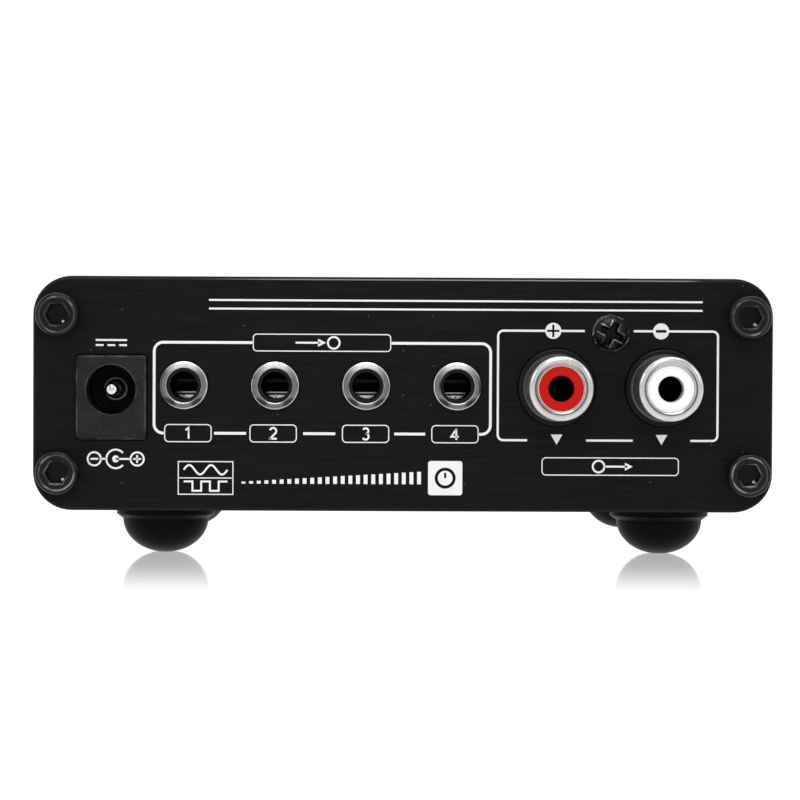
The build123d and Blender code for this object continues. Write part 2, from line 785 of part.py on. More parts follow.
def make_control(name, u, body_width, body_depth, knob_radius, knob_length, flutes, rest_angle):
    """A turning control on the front panel: bushing, case, shaft, nut, knob and grub screw."""
    seat = front_plane(front_panel_thickness)
    case_front = seat.offset(-bushing_plate_thickness)
    body_height = front_axis_height + control_case_rise
    rotor_radius = body_width / 2 - rotor_wall - rotor_gap
    shaft_front = knob_gap + knob_length - shaft_end_gap
    with BuildPart() as bushing:
        with BuildSketch(seat):
            with Locations((u, board_top_v + body_height / 2)):
                Rectangle(body_width, body_height)
        extrude(amount=-bushing_plate_thickness)
        with BuildSketch(seat):
            with Locations((u, front_axis_v)):
                Circle(neck_radius)
        extrude(amount=front_panel_thickness + neck_reach)
        chamfer(bushing.edges().filter_by(GeomType.CIRCLE).group_by(Axis.Y)[0], neck_chamfer)
        with BuildSketch(front_plane(-neck_reach)):
            with Locations((u, front_axis_v)):
                Circle(shaft_radius + running_clearance)
        extrude(amount=-(neck_reach + front_panel_thickness + bushing_plate_thickness), mode=Mode.SUBTRACT)
    write_piece(bushing.part, f"{name}_bushing")

    with BuildPart() as case:
        with BuildSketch(case_front):
            with Locations((u, board_top_v + body_height / 2)):
                Rectangle(body_width, body_height)
        extrude(amount=-body_depth)
        with BuildSketch(case_front):
            with Locations((u, front_axis_v)):
                Circle(rotor_radius + rotor_gap)
        extrude(amount=-(rotor_thickness + 2 * rotor_gap), mode=Mode.SUBTRACT)
        tail_y = case_front.origin.Y + body_depth / 2
        add_tails([(u + side * body_width / 3, tail_y) for side in (-1, 0, 1)], rise=tail_radius)
    write_piece(case.part, f"{name}_case")

    with BuildPart() as nut:
        with BuildSketch(front_plane()):
            with Locations((u, front_axis_v)):
                RegularPolygon(nut_across_flats / 2, 6, major_radius=False)
        extrude(amount=nut_thickness)
        chamfer(nut.faces().sort_by(Axis.Y)[0].edges(), nut_chamfer)
        with BuildSketch(front_plane()):
            with Locations((u, front_axis_v)):
                Circle(neck_radius + thread_clearance)
        extrude(amount=nut_thickness, mode=Mode.SUBTRACT)
    write_piece(nut.part, f"{name}_nut")

    turn = radians(rest_angle)
    dial = Plane(
        origin=(u, front_face_y, front_axis_z),
        x_dir=(cos(turn), 0, -sin(turn)),
        z_dir=(0, -1, 0),
    )
    flat_distance = shaft_radius - shaft_flat_depth
    with BuildPart() as shaft:
        with BuildSketch(dial.offset(shaft_front)):
            Circle(shaft_radius)
        rotor_back = front_panel_thickness + bushing_plate_thickness + rotor_gap + rotor_thickness
        extrude(amount=-(shaft_front + rotor_back))
        chamfer(shaft.edges().filter_by(GeomType.CIRCLE).group_by(Axis.Y)[0], shaft_chamfer)
        with BuildSketch(dial.offset(-rotor_back)):
            Circle(rotor_radius)
        extrude(amount=rotor_thickness)
        with BuildSketch(dial.offset(shaft_front)):
            with Locations((0, -flat_distance)):
                Rectangle(2 * shaft_radius, shaft_radius, align=(Align.CENTER, Align.MAX))
        extrude(amount=-(shaft_front - neck_reach), mode=Mode.SUBTRACT)
    write_piece(shaft.part, f"{name}_shaft")

    recess_radius = nut_across_flats / sqrt(3) + knob_recess_gap
    recess_top = neck_reach + knob_recess_gap
    grub_plane = Plane(
        origin=dial.origin + dial.z_dir * ((recess_top + shaft_front) / 2),
        x_dir=dial.x_dir,
        z_dir=-dial.y_dir,
    )
    with BuildPart() as knob:
        with BuildSketch(dial.offset(knob_gap)):
            Circle(knob_radius)
        extrude(amount=knob_length)
        ends = knob.edges().filter_by(GeomType.CIRCLE).group_by(Axis.Y)
        chamfer(ends[0], knob_chamfer)
        ends = knob.edges().filter_by(GeomType.CIRCLE).group_by(Axis.Y)
        chamfer(ends[-1], knob_back_chamfer)
        with BuildSketch(dial.offset(knob_gap + knob_grip_margin)):
            with PolarLocations(knob_radius, flutes):
                Circle(knob_flute_radius)
        extrude(amount=knob_length - knob_chamfer - 2 * knob_grip_margin, mode=Mode.SUBTRACT)
        with BuildSketch(dial.offset(knob_gap)):
            Circle(recess_radius)
        extrude(amount=recess_top - knob_gap, mode=Mode.SUBTRACT)
        with BuildSketch(dial.offset(recess_top)):
            Circle(shaft_radius + press_gap)
        extrude(amount=shaft_front + press_gap - recess_top, mode=Mode.SUBTRACT)
        with BuildSketch(grub_plane):
            Circle(grub_radius + thread_clearance)
        extrude(amount=2 * knob_radius, mode=Mode.SUBTRACT)
        with BuildSketch(dial.offset(knob_gap + knob_length)):
            with Locations((0, knob_radius)):
                Rectangle(knob_line_width, knob_line_length, align=(Align.CENTER, Align.MAX))
        extrude(amount=-knob_line_depth, mode=Mode.SUBTRACT)
    write_piece(knob.part, f"{name}_knob")

    with BuildPart() as grub:
        with BuildSketch(grub_plane.offset(flat_distance + press_gap)):
            Circle(grub_radius)
        extrude(amount=knob_radius - grub_sink - flat_distance)
        with BuildSketch(grub_plane.offset(knob_radius - grub_sink + press_gap)):
            RegularPolygon(grub_hex_across_flats / 2, 6, major_radius=False)
        extrude(amount=-grub_hex_depth, mode=Mode.SUBTRACT)
    write_piece(grub.part, f"{name}_grub_screw")


make_control(
    "volume",
    volume_u,
    volume_case_width,
    volume_case_depth,
    volume_knob_radius,
    volume_knob_length,
    volume_knob_flutes,
    volume_rest_angle,
)
make_control(
    "selector",
    selector_u,
    selector_case_width,
    selector_case_depth,
    selector_knob_radius,
    selector_knob_length,
    selector_knob_flutes,
    selector_rest_angle,
)

# Power toggle: case behind the panel, threaded bushing through it, nut in front
toggle_seat = front_plane(front_panel_thickness)
toggle_throat_radius = lever_ball_radius + running_clearance
with BuildPart() as power_switch_case:
    with BuildSketch(toggle_seat):
        with Locations((toggle_u, front_axis_v)):
            Rectangle(toggle_case_width, toggle_case_height)
    extrude(amount=-toggle_case_depth)
    with BuildSketch(toggle_seat):
        with Locations((toggle_u, front_axis_v)):
            Circle(toggle_throat_radius)
    extrude(amount=-toggle_cavity_depth, mode=Mode.SUBTRACT)
    toggle_tail_y = shell_front_y + toggle_case_depth / 2
    toggle_tail_step = toggle_case_depth / 3
    add_tails(
        [(toggle_u, toggle_tail_y + step * toggle_tail_step) for step in (-1, 0, 1)],
        rise=front_axis_height - toggle_case_height / 2 + tail_radius,
    )
write_piece(power_switch_case.part, "power_switch_case")

toggle_profile = Plane(origin=(toggle_u, front_face_y, front_axis_z), x_dir=(1, 0, 0), z_dir=(0, 0, -1))
with BuildPart() as power_switch_bushing:
    with BuildSketch(toggle_profile):
        with BuildLine():
            Polyline(
                (toggle_throat_radius, -front_panel_thickness),
                (toggle_bushing_radius, -front_panel_thickness),
                (toggle_bushing_radius, toggle_bushing_reach),
                (toggle_mouth_radius, toggle_bushing_reach),
                (toggle_throat_radius, lever_pivot_reach + toggle_throat_length),
                close=True,
            )
        make_face()
    revolve(axis=Axis(toggle_profile.origin, toggle_profile.y_dir))
write_piece(power_switch_bushing.part, "power_switch_bushing")

with BuildPart() as power_switch_nut:
    with BuildSketch(front_plane()):
        with Locations((toggle_u, front_axis_v)):
            RegularPolygon(toggle_nut_across_flats / 2, 6, major_radius=False)
    extrude(amount=toggle_nut_thickness)
    chamfer(power_switch_nut.faces().sort_by(Axis.Y)[0].edges(), nut_chamfer)
    with BuildSketch(front_plane()):
        with Locations((toggle_u, front_axis_v)):
            Circle(toggle_bushing_radius + thread_clearance)
    extrude(amount=toggle_nut_thickness, mode=Mode.SUBTRACT)
write_piece(power_switch_nut.part, "power_switch_nut")

# The lever rests tipped down, and turns about the middle of its ball
tilt = radians(lever_rest_tilt)
lever_plane = Plane(
    origin=(toggle_u, front_face_y - lever_pivot_reach, front_axis_z),
    x_dir=(1, 0, 0),
    z_dir=(0, sin(tilt), -cos(tilt)),
)
with BuildPart() as power_lever:
    with BuildSketch(lever_plane):
        Circle(lever_ball_radius)
        with BuildLine():
            Polyline(
                (0, -lever_tail_length),
                (lever_tail_radius, -lever_tail_length),
                (lever_tail_radius, 0),
                (lever_root_radius, 0),
                (lever_tip_radius, lever_length - lever_tip_radius),
                (0, lever_length - lever_tip_radius),
                close=True,
            )
        make_face()
        with Locations((0, lever_length - lever_tip_radius)):
            Circle(lever_tip_radius)
        Rectangle(
            lever_length,
            4 * lever_length,
            align=(Align.MIN, Align.CENTER),
            mode=Mode.INTERSECT,
        )
    revolve(axis=Axis(lever_plane.origin, lever_plane.y_dir))
write_piece(power_lever.part, "power_lever")

# Power light: a domed lens with a flange behind the panel, on two bent leads
light_profile = Plane(origin=(light_u, front_face_y, front_axis_z), x_dir=(1, 0, 0), z_dir=(0, 0, -1))
with BuildPart() as power_light:
    with BuildSketch(light_profile):
        with Locations((0, light_proud)):
            Circle(light_radius)
        with Locations((0, -front_panel_thickness)):
            Rectangle(light_radius, front_panel_thickness + light_proud, align=(Align.MIN, Align.MIN))
            Rectangle(light_flange_radius, light_flange_thickness, align=(Align.MIN, Align.MAX))
        Rectangle(
            light_flange_radius,
            4 * front_panel_thickness + 4 * light_proud + 4 * light_radius + 4 * light_flange_thickness,
            align=(Align.MIN, Align.CENTER),
            mode=Mode.INTERSECT,
        )
    revolve(axis=Axis(light_profile.origin, light_profile.y_dir))
write_piece(power_light.part, "power_light")

light_rear_y = shell_front_y + light_flange_thickness
with BuildPart() as power_light_leads:
    for side in (-1, 1):
        lead_x = light_u + side * light_lead_pitch / 2
        with Locations((lead_x, light_rear_y, front_axis_z)):
            Box(
                light_lead_thickness,
                light_lead_run,
                light_lead_thickness,
                align=(Align.CENTER, Align.MIN, Align.CENTER),
            )
        lead_y = light_rear_y + light_lead_run - light_lead_thickness / 2
        with Locations((lead_x, lead_y, front_axis_z + light_lead_thickness / 2)):
            Box(
                light_lead_thickness,
                light_lead_thickness,
                front_axis_height + light_lead_thickness / 2 + board_thickness + tail_reach,
                align=(Align.CENTER, Align.CENTER, Align.MAX),
            )
        board_holes.append((lead_x, lead_y))
write_piece(power_light_leads.part, "power_light_leads")

# Parts on the circuit board
with BuildPart() as amplifier_chips:
    for side in (-1, 1):
        chip_x = side * chip_spacing / 2
        chip_middle_y = shell_middle_y + chip_y
        with Locations((chip_x, chip_middle_y, board_top_z + chip_lift)):
            Box(chip_width, chip_length, chip_height, align=(Align.CENTER, Align.CENTER, Align.MIN))
        for row in (-1, 1):
            for column in range(chip_pins_per_row):
                pin_x = chip_x + row * chip_row_pitch / 2
                pin_y = chip_middle_y + (column - (chip_pins_per_row - 1) / 2) * chip_pin_pitch
                pin_width = (chip_row_pitch - chip_width) / 2 + tail_radius
                with Locations((pin_x + row * tail_radius, pin_y, board_top_z + chip_lift)):
                    Box(
                        pin_width + tail_radius,
                        2 * tail_radius,
                        chip_height / 2,
                        align=(Align.MAX if row > 0 else Align.MIN, Align.CENTER, Align.MIN),
                    )
                add_tails([(pin_x, pin_y)], rise=chip_lift + tail_radius)
write_piece(amplifier_chips.part, "amplifier_chips")

with BuildPart() as electrolytic_capacitors:
    for column in range(can_count):
        can_x = (column - (can_count - 1) / 2) * can_spacing
        can_middle_y = shell_middle_y + can_y
        with Locations((can_x, can_middle_y, board_top_z)):
            Cylinder(can_radius, can_height, align=(Align.CENTER, Align.CENTER, Align.MIN))
    crowns = electrolytic_capacitors.edges().filter_by(GeomType.CIRCLE).group_by(Axis.Z)[-1]
    fillet(crowns, can_edge_round)
    for column in range(can_count):
        can_x = (column - (can_count - 1) / 2) * can_spacing
        can_leads = [(can_x + side * can_lead_pitch / 2, can_middle_y) for side in (-1, 1)]
        add_tails(can_leads, rise=tail_radius)
write_piece(electrolytic_capacitors.part, "electrolytic_capacitors")

with BuildPart() as film_capacitors:
    for column in range(film_count):
        film_x = (column - (film_count - 1) / 2) * film_spacing
        film_middle_y = shell_middle_y + film_y
        with Locations((film_x, film_middle_y, board_top_z)):
            Box(film_length, film_width, film_height, align=(Align.CENTER, Align.CENTER, Align.MIN))
    fillet(film_capacitors.faces().group_by(Axis.Z)[-1].edges(), film_edge_round)
    for column in range(film_count):
        film_x = (column - (film_count - 1) / 2) * film_spacing
        film_leads = [(film_x + side * film_lead_pitch / 2, film_middle_y) for side in (-1, 1)]
        add_tails(film_leads, rise=tail_radius)
write_piece(film_capacitors.part, "film_capacitors")

with BuildPart() as voltage_regulator:
    regulator_x = inner_half_width - regulator_inset
    regulator_end_y = shell_middle_y + regulator_y
    with Locations((regulator_x, regulator_end_y, board_top_z)):
        Box(
            regulator_width,
            regulator_body_length,
            regulator_body_thickness,
            align=(Align.CENTER, Align.MIN, Align.MIN),
        )
        Box(
            regulator_width,
            regulator_tab_length,
            regulator_tab_thickness,
            align=(Align.CENTER, Align.MIN, Align.MIN),
        )
    regulator_hole_y = regulator_end_y + (regulator_body_length + regulator_tab_length) / 2
    with Locations((regulator_x, regulator_hole_y, board_top_z)):
        Cylinder(
            regulator_hole_radius,
            regulator_tab_thickness,
            align=(Align.CENTER, Align.CENTER, Align.MIN),
            mode=Mode.SUBTRACT,
        )
    regulator_lead_y = regulator_end_y - regulator_lead_run
    for step in (-1, 0, 1):
        lead_x = regulator_x + step * regulator_lead_pitch
        with Locations((lead_x, regulator_lead_y - tail_radius, board_top_z + regulator_lead_rise)):
            Box(
                2 * tail_radius,
                regulator_lead_run + 2 * tail_radius,
                2 * tail_radius,
                align=(Align.CENTER, Align.MIN, Align.CENTER),
            )
        add_tails([(lead_x, regulator_lead_y)], rise=regulator_lead_rise)
write_piece(voltage_regulator.part, "voltage_regulator")

# Circuit board, last, because its holes follow every tail above
with BuildPart() as main_board:
    with BuildSketch(Plane(origin=(0, shell_middle_y, board_top_z))):
        Rectangle(2 * (inner_half_width - board_side_gap), shell_length - 2 * board_end_gap)
    extrude(amount=-board_thickness)
    with BuildSketch(Plane(origin=(0, 0, board_top_z))):
        with Locations(*board_holes):
            Circle(tail_radius + tail_clearance)
    extrude(amount=-board_thickness, mode=Mode.SUBTRACT)
write_piece(main_board.part, "main_board")
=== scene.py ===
import math

import bmesh
import bpy
from bpy.props import FloatProperty, FloatVectorProperty, PointerProperty
from mathutils import Matrix, Quaternion, Vector
from mathutils.geometry import tessellate_polygon


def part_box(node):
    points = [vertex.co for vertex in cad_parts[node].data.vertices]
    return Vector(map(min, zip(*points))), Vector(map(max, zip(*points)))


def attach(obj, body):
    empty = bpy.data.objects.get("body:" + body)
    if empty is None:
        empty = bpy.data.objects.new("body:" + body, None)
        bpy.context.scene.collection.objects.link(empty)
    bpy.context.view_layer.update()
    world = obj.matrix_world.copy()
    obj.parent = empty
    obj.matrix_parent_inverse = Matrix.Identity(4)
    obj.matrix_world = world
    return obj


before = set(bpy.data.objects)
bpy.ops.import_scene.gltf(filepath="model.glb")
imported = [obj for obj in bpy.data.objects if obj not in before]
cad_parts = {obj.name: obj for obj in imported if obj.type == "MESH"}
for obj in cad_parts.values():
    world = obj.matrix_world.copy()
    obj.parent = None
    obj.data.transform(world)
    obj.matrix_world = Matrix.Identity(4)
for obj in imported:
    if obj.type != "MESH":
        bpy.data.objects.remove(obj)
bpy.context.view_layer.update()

bl_info = {
    "name": "Audio switch box",
    "version": (1, 0, 0),
    "blender": (4, 5, 0),
    "location": "View3D > Sidebar > Switch Box",
    "description": "Finishes, printing and studio for a small audio switch box",
    "category": "Object",
}

MM = 0.001

# Places of the CAD pieces that the printing and the finishes follow, in metres
rear_low, rear_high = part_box("rear_panel")
PANEL_MIDDLE_Z = (rear_low.z + rear_high.z) / 2
REAR_FACE_Y = rear_high.y
FRONT_FACE_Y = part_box("front_panel")[0].y
JACK_NUMBERS = (1, 2, 3, 4)
KNOB_CHAMFER = 1.0 * MM
STAGE_RADIUS = 3.0


def middle(node):
    """Middle of a CAD node's box."""
    low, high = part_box(node)
    return (low + high) / 2


COLOUR = {"subtype": "COLOR", "min": 0.0, "max": 1.0}
FACTOR = {"subtype": "FACTOR", "min": 0.0, "max": 1.0}
LENGTH = {"unit": "LENGTH", "min": 0.0, "precision": 6}
PLACE = {"subtype": "XYZ", "unit": "LENGTH"}
POWER = {"unit": "POWER"}


def setting(label, description, default, options):
    """A number, a place or a colour that a user can change."""
    kind = FloatVectorProperty if isinstance(default, tuple) else FloatProperty
    return kind(name=label, description=description, default=default, **options)


class SwitchBoxPrint(bpy.types.PropertyGroup):
    """Sizes and colours of the printing on both panels."""

    ink_colour: setting("Ink", "Colour of the printed ink", (0.77, 0.77, 0.78), COLOUR)
    ink_thickness: setting("Ink thickness", "How far the ink stands off the panel", 0.03 * MM, LENGTH)
    frame_line: setting("Frame line", "Width of the lines round the sockets", 0.35 * MM, LENGTH)
    box_line: setting("Box line", "Width of the lines round the small boxes", 0.13 * MM, LENGTH)
    symbol_line: setting("Symbol line", "Width of the lines in the symbols", 0.24 * MM, LENGTH)
    number_height: setting("Number height", "Height of the printed numbers", 1.45 * MM, LENGTH)


class SwitchBoxFinish(bpy.types.PropertyGroup):
    """Colours of the box's finishes."""

    panel_colour: setting("Panels", "Black of the brushed panels", (0.0033, 0.0033, 0.0046), COLOUR)
    shell_colour: setting("Shells", "Black of the extruded shells", (0.0075, 0.0075, 0.0085), COLOUR)
    rubber_colour: setting("Feet", "Black of the rubber feet", (0.0012, 0.0012, 0.0016), COLOUR)
    inlet_colour: setting("Power inlet", "Grey of the power inlet", (0.0086, 0.0088, 0.0108), COLOUR)
    nickel_colour: setting("Nickel", "Plating of rings and barrels", (0.7, 0.695, 0.69), COLOUR)
    red_colour: setting("Red socket", "Insulator of the right channel", (0.48, 0.0055, 0.003), COLOUR)
    white_colour: setting("White socket", "Insulator of the left channel", (0.9, 0.9, 0.89), COLOUR)
    knob_colour: setting("Knobs", "Black of the turned knobs", (0.009, 0.009, 0.01), COLOUR)
    lens_colour: setting("Power light", "Tint of the power light", (0.03, 0.13, 0.6), COLOUR)
    board_colour: setting("Board", "Solder mask of the circuit board", (0.008, 0.07, 0.03), COLOUR)


class SwitchBoxStage(bpy.types.PropertyGroup):
    """Camera, light and floor of the studio."""

    camera_place: setting("Camera", "Where it stands", (6.0 * MM, REAR_FACE_Y + 400.0 * MM, 28.5 * MM), PLACE)
    camera_aim: setting("Aim", "Point at the middle of the picture", (0.45 * MM, REAR_FACE_Y, 20.52 * MM), PLACE)
    camera_roll: setting("Camera roll", "Turn about its line of sight", math.radians(0.27), {"subtype": "ANGLE"})
    lens: setting("Lens", "Focal length in millimetres", 140.2, {"subtype": "DISTANCE_CAMERA"})
    floor_colour: setting("Floor", "Colour of the floor and the backdrop", (1.0, 1.0, 1.0), COLOUR)
    floor_gloss: setting("Floor gloss", "Gloss of the floor in front of the rear feet", 1.0, FACTOR)
    key_power: setting("Overhead light", "Power of the soft light over the box", 1.6, POWER)
    side_power: setting("Side lights", "Power of each soft light beside the camera", 0.9, POWER)
    front_power: setting("Front light", "Power of the small light over the camera", 0.3, POWER)


def maths_method(operation):
    """A method of a value that adds one Math node."""
    return lambda value, *others: value.nodes.maths(operation, value, *others)


class Value:
    """A socket that gives a value. Arithmetic on it adds Math nodes."""

    __add__ = __radd__ = maths_method("ADD")
    __sub__ = maths_method("SUBTRACT")
    __mul__ = __rmul__ = maths_method("MULTIPLY")
    __truediv__ = maths_method("DIVIDE")
    __pow__ = maths_method("POWER")
    __abs__ = maths_method("ABSOLUTE")
    __lt__ = maths_method("LESS_THAN")
    __gt__ = maths_method("GREATER_THAN")

    def __init__(self, nodes, socket):
        self.nodes = nodes
        self.socket = socket

    def __rsub__(self, other):
        return self.nodes.maths("SUBTRACT", other, self)

    def output(self, name):
        """Another output of the same node."""
        return Value(self.nodes, self.socket.node.outputs[name])


class Nodes:
    """The nodes of one material, or of the world, added one call at a time."""

    def __init__(self, owner):
        self.owner = owner
        owner.use_nodes = True
        self.tree = owner.node_tree
        self.tree.nodes.clear()
        # Place on the box in metres, and within a piece's own box from 0 to 1 each way
        self.place = self.add("TexCoord", output="Object")
        self.share = self.place.output("Generated")

    def add(self, kind, settings=None, sockets=None, output=0):
        """A node of any kind: its settings first, then the values or links of its sockets."""
        node = self.tree.nodes.new("ShaderNode" + kind)
        for name, value in (settings or {}).items():
            setattr(node, name, value)
        for name, value in (sockets or {}).items():
            socket = node.inputs[name]
            if isinstance(value, Value):
                self.tree.links.new(value.socket, socket)
            else:
                socket.default_value = (*value, 1.0) if socket.type == "RGBA" else value
        return Value(self, node.outputs[output]) if node.outputs else None

    def maths(self, operation, *values):
        return self.add("Math", {"operation": operation}, dict(enumerate(values)))

    def axes(self, vector=None):
        """The three numbers of a vector, or of the place on the box."""
        split = self.add("SeparateXYZ", sockets={0: vector or self.place})
        return split, split.output("Y"), split.output("Z")

    def noise(self, scale, detail, vector=None):
        """Noise over the place on the box, or over a vector. A scale of three numbers stretches it."""
        vector = vector or self.place
        if isinstance(scale, tuple):
            vector, scale = self.add("VectorMath", {"operation": "MULTIPLY"}, {0: vector, 1: scale}), 1.0
        return self.add("TexNoise", sockets={"Vector": vector, "Scale": scale, "Detail": detail})

    def step(self, value, start, end):
        """0 at the start, 1 at the end, smooth between."""
        sockets = {"Value": value, "From Min": start, "From Max": end}
        return self.add("MapRange", {"interpolation_type": "SMOOTHSTEP"}, sockets)

    def band(self, value, middle, width):
        """1 about a middle, 0 a little beyond half a width from it."""
        return self.step(abs(value - middle), 0.6 * width, 0.3 * width)

    def tint(self, factor, low, high):
        """Colour between two colours."""
        return self.add("Mix", {"data_type": "RGBA"}, {0: factor, 6: low, 7: high}, 2)

    def shades(self, factor, colour, low, high):
        """Colour between two shades of one colour."""
        return self.tint(factor, shade(colour, low), shade(colour, high))

    def specks(self, first, second, scale, size, chance):
        """Round specks, one in some of the cells of a flat grid."""
        flat = self.add("CombineXYZ", sockets={"X": first, "Y": second})
        cells = self.add("TexVoronoi", {"voronoi_dimensions": "2D"}, {"Vector": flat, "Scale": scale})
        draw = self.add("SeparateColor", sockets={0: cells.output("Color")})
        return self.step(cells, size * scale, 0.4 * size * scale) * (draw < chance)

    def surface(self, colour, roughness, relief, specular=0.5, metallic=0.0, coat=0.0):
        """The finished material. Its relief is a height, a depth in millimetres and a strength."""
        height, depth, strength = relief
        bumps = self.add("Bump", sockets={"Strength": strength, "Distance": depth * MM, "Height": height})
        sockets = {"Base Color": colour, "Roughness": roughness, "Normal": bumps}
        sockets |= {"Specular IOR Level": specular, "Metallic": metallic, "Coat Weight": coat}
        return self.shown(self.add("BsdfPrincipled", sockets=sockets))

    def shown(self, shader):
        """The finished material, of any shader."""
        self.add("OutputMaterial", sockets={"Surface": shader})
        return self.owner


def new_finish(name):
    """The nodes of a new material."""
    return Nodes(bpy.data.materials.new(name))


def dress(material, *names):
    """Give CAD nodes a finish."""
    for name in names:
        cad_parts[name].material_slots[0].material = material


def shade(colour, factor):
    """A lighter or darker version of a colour."""
    return tuple(min(1.0, part * factor) for part in colour)


def distance(first, second):
    """Distance from an axis, given along two directions square to it."""
    return (first * first + second * second) ** 0.5


def share_radius(n):
    """Distance from a round piece's own axis along Y, 0.5 at its rim."""
    x, _, z = n.axes(n.share)
    return distance(x - 0.5, z - 0.5)


def brushed_black(colour):
    """Anodised plate, brushed along its length, with a little dust and a painted highlight along its upper edge.
    """
    edge_drop, edge_width = 0.17 * MM, 0.16 * MM
    fade_left, fade_right = (28.0 * MM, 12.0 * MM), (-38.5 * MM, -36.0 * MM)
    n = new_finish("brushed_black")
    x, _, z = n.axes()
    brushing = 0.55 * n.noise((90, 90, 2600), 3) + 0.45 * n.noise((260, 260, 9000), 2)
    streaks = n.step(brushing, 0.36, 0.66)
    dust = n.specks(x, z, 250, 0.12 * MM, 0.14)
    # Painted highlight: a thin pale line along the top edge, as if it caught the light from above, fading out
    # towards both ends.
    upper_edge = n.band(z, rear_high.z - edge_drop, edge_width)
    wear_and_highlight = upper_edge * n.step(x, *fade_left) * n.step(x, *fade_right)
    grey = n.shades(streaks, colour, 0.55, 1.65)
    base = n.tint(0.25 * dust + 0.55 * wear_and_highlight, grey, (0.3, 0.3, 0.3))
    return n.surface(base, 0.36 + 0.12 * streaks, (brushing, 0.02, 0.35), specular=0.09)


def extruded_black(colour):
    """Anodised extrusion with faint die lines along its length, and a dark seam half way up with a painted
    highlight along each side of it.
    """
    n = new_finish("extruded_black")
    _, _, z = n.axes()
    low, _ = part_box("upper_shell")
    lines = n.noise((3200, 18, 3200), 3)
    mottle = n.noise(420, 3)
    from_seam = abs(z - low.z)
    seam = n.step(from_seam, 0.2 * MM, 0.12 * MM)
    # Painted highlight: a pale line just above and just below the seam, as if its edges caught the light.
    seam_highlight = n.band(from_seam, 0.28 * MM, 0.16 * MM)
    black = n.shades(n.step(lines, 0.3, 0.7), colour, 0.6, 1.7)
    highlighted = n.tint(0.8 * seam_highlight, black, shade(colour, 6.0))
    base = n.tint(seam, highlighted, shade(colour, 0.08))
    return n.surface(base, 0.36 + 0.1 * lines + 0.02 * mottle, (lines, 0.02, 0.2), specular=0.24)


def black_oxide(name, painted_light_of):
    """Blackened steel screw, with painted shade in its socket, painted highlights broken into glints along its
    edges, and painted glints in a few spots.
    """
    n = new_finish(name)
    grain = n.noise(2400, 4)
    glints = n.step(n.noise(420, 2), 0.5, 0.64)
    edge, socket, glint_spot = painted_light_of(n)
    # Painted shade: the socket is painted darker than the face of the head.
    face = n.tint(socket, (0.009, 0.009, 0.0095), (0.002, 0.002, 0.002))
    # Painted highlights: the edges are painted paler, broken into glints by noise.
    wear_and_highlight = n.tint(edge * (0.22 + 0.78 * glints), face, (0.2, 0.2, 0.205))
    # Painted glints: a few spots painted nearly white.
    base = n.tint(glint_spot, wear_and_highlight, (0.75, 0.75, 0.76))
    return n.surface(base, 0.14 + 0.2 * grain, (grain, 0.02, 0.3), specular=0.4, metallic=0.7)


def cap_screw_wear(n):
    """Painted highlights along the edges, painted shade in the socket and a painted glint spot of the cap
    screws, about the middle of the nearest one.
    """
    head_radius, edge_radius, edge_width = 2.75 * MM, 2.25 * MM, 0.25 * MM
    socket_half, socket_blur = 1.27 * MM, 0.05 * MM
    rim_half, rim_width = 1.42 * MM, 0.2 * MM
    spot_across, spot_up, spot_radius, spot_core = 0.7 * MM, -0.9 * MM, 0.26 * MM, 0.06 * MM
    _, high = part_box("rear_panel_screws")
    screw_x = high.x - head_radius
    screw_z = high.z - head_radius - PANEL_MIDDLE_Z
    x, _, z = n.axes()
    height = z - PANEL_MIDDLE_Z
    across = n.maths("SIGN", x) * screw_x - x
    up = height - n.maths("SIGN", height) * screw_z
    slope = math.radians(60.0)
    from_middle = n.maths("MAXIMUM", abs(up), abs(across) * math.sin(slope) + abs(up) * math.cos(slope))
    # Painted highlights: a ring at the rounded edge of the head and a ring round the socket's mouth.
    edge = n.band(distance(across, up), edge_radius, edge_width) + 0.7 * n.band(from_middle, rim_half, rim_width)
    # Painted shade inside the hex socket.
    socket = n.step(from_middle, socket_half + socket_blur, socket_half - socket_blur)
    # Painted glint: one small spot on each screw, low in its socket.
    return edge, socket, n.step(distance(across - spot_across, up - spot_up), spot_radius, spot_core)


def cross_head_wear(n):
    """Painted highlights along the edges, painted shade in the recess and painted glint spots of the cross-head
    screw.
    """
    arm_half, arm_blur, arm_end, arm_fade = 0.45 * MM, 0.07 * MM, 1.75 * MM, 0.25 * MM
    edge_aside, edge_width, edge_end, edge_fade = 0.58 * MM, 0.2 * MM, 1.9 * MM, 0.3 * MM
    turn = math.radians(-26.0)
    centre = middle("phono_screw")
    x, _, z = n.axes()
    u, v = centre.x - x, z - centre.z
    first = abs(u * math.cos(turn) + v * math.sin(turn))
    second = abs(v * math.cos(turn) - u * math.sin(turn))
    aside, along = n.maths("MINIMUM", first, second), n.maths("MAXIMUM", first, second)
    # Painted shade inside the cross recess.
    recess = n.step(aside, arm_half + arm_blur, arm_half - arm_blur) * n.step(along, arm_end, arm_end - arm_fade)
    # Painted highlights along the edges of the arms.
    arms = n.band(aside, edge_aside, edge_width) * n.step(along, edge_end, edge_end - edge_fade)
    # Painted highlight round the rim, with noise picking out spots of the edges as painted glints.
    edge = n.band(share_radius(n), 0.46, 0.06) + arms
    return edge, recess, edge * n.step(n.noise(1300, 1), 0.6, 0.68)


def grub_screw_wear(n):
    """Painted highlight along the edge and painted shade in the socket of the grub screws, with no painted glint
    spot.
    """
    radius = share_radius(n)
    return n.band(radius, 0.46, 0.06), n.step(radius, 0.28, 0.22), 0.0


def black_rubber(colour):
    """Smooth moulded rubber with a faint bloom."""
    n = new_finish("black_rubber")
    bloom = n.noise(260, 4)
    skin = n.noise(5200, 2)
    base = n.shades(bloom, colour, 0.7, 1.5)
    return n.surface(base, 0.34 + 0.12 * bloom, (skin, 0.015, 0.3), specular=0.05)


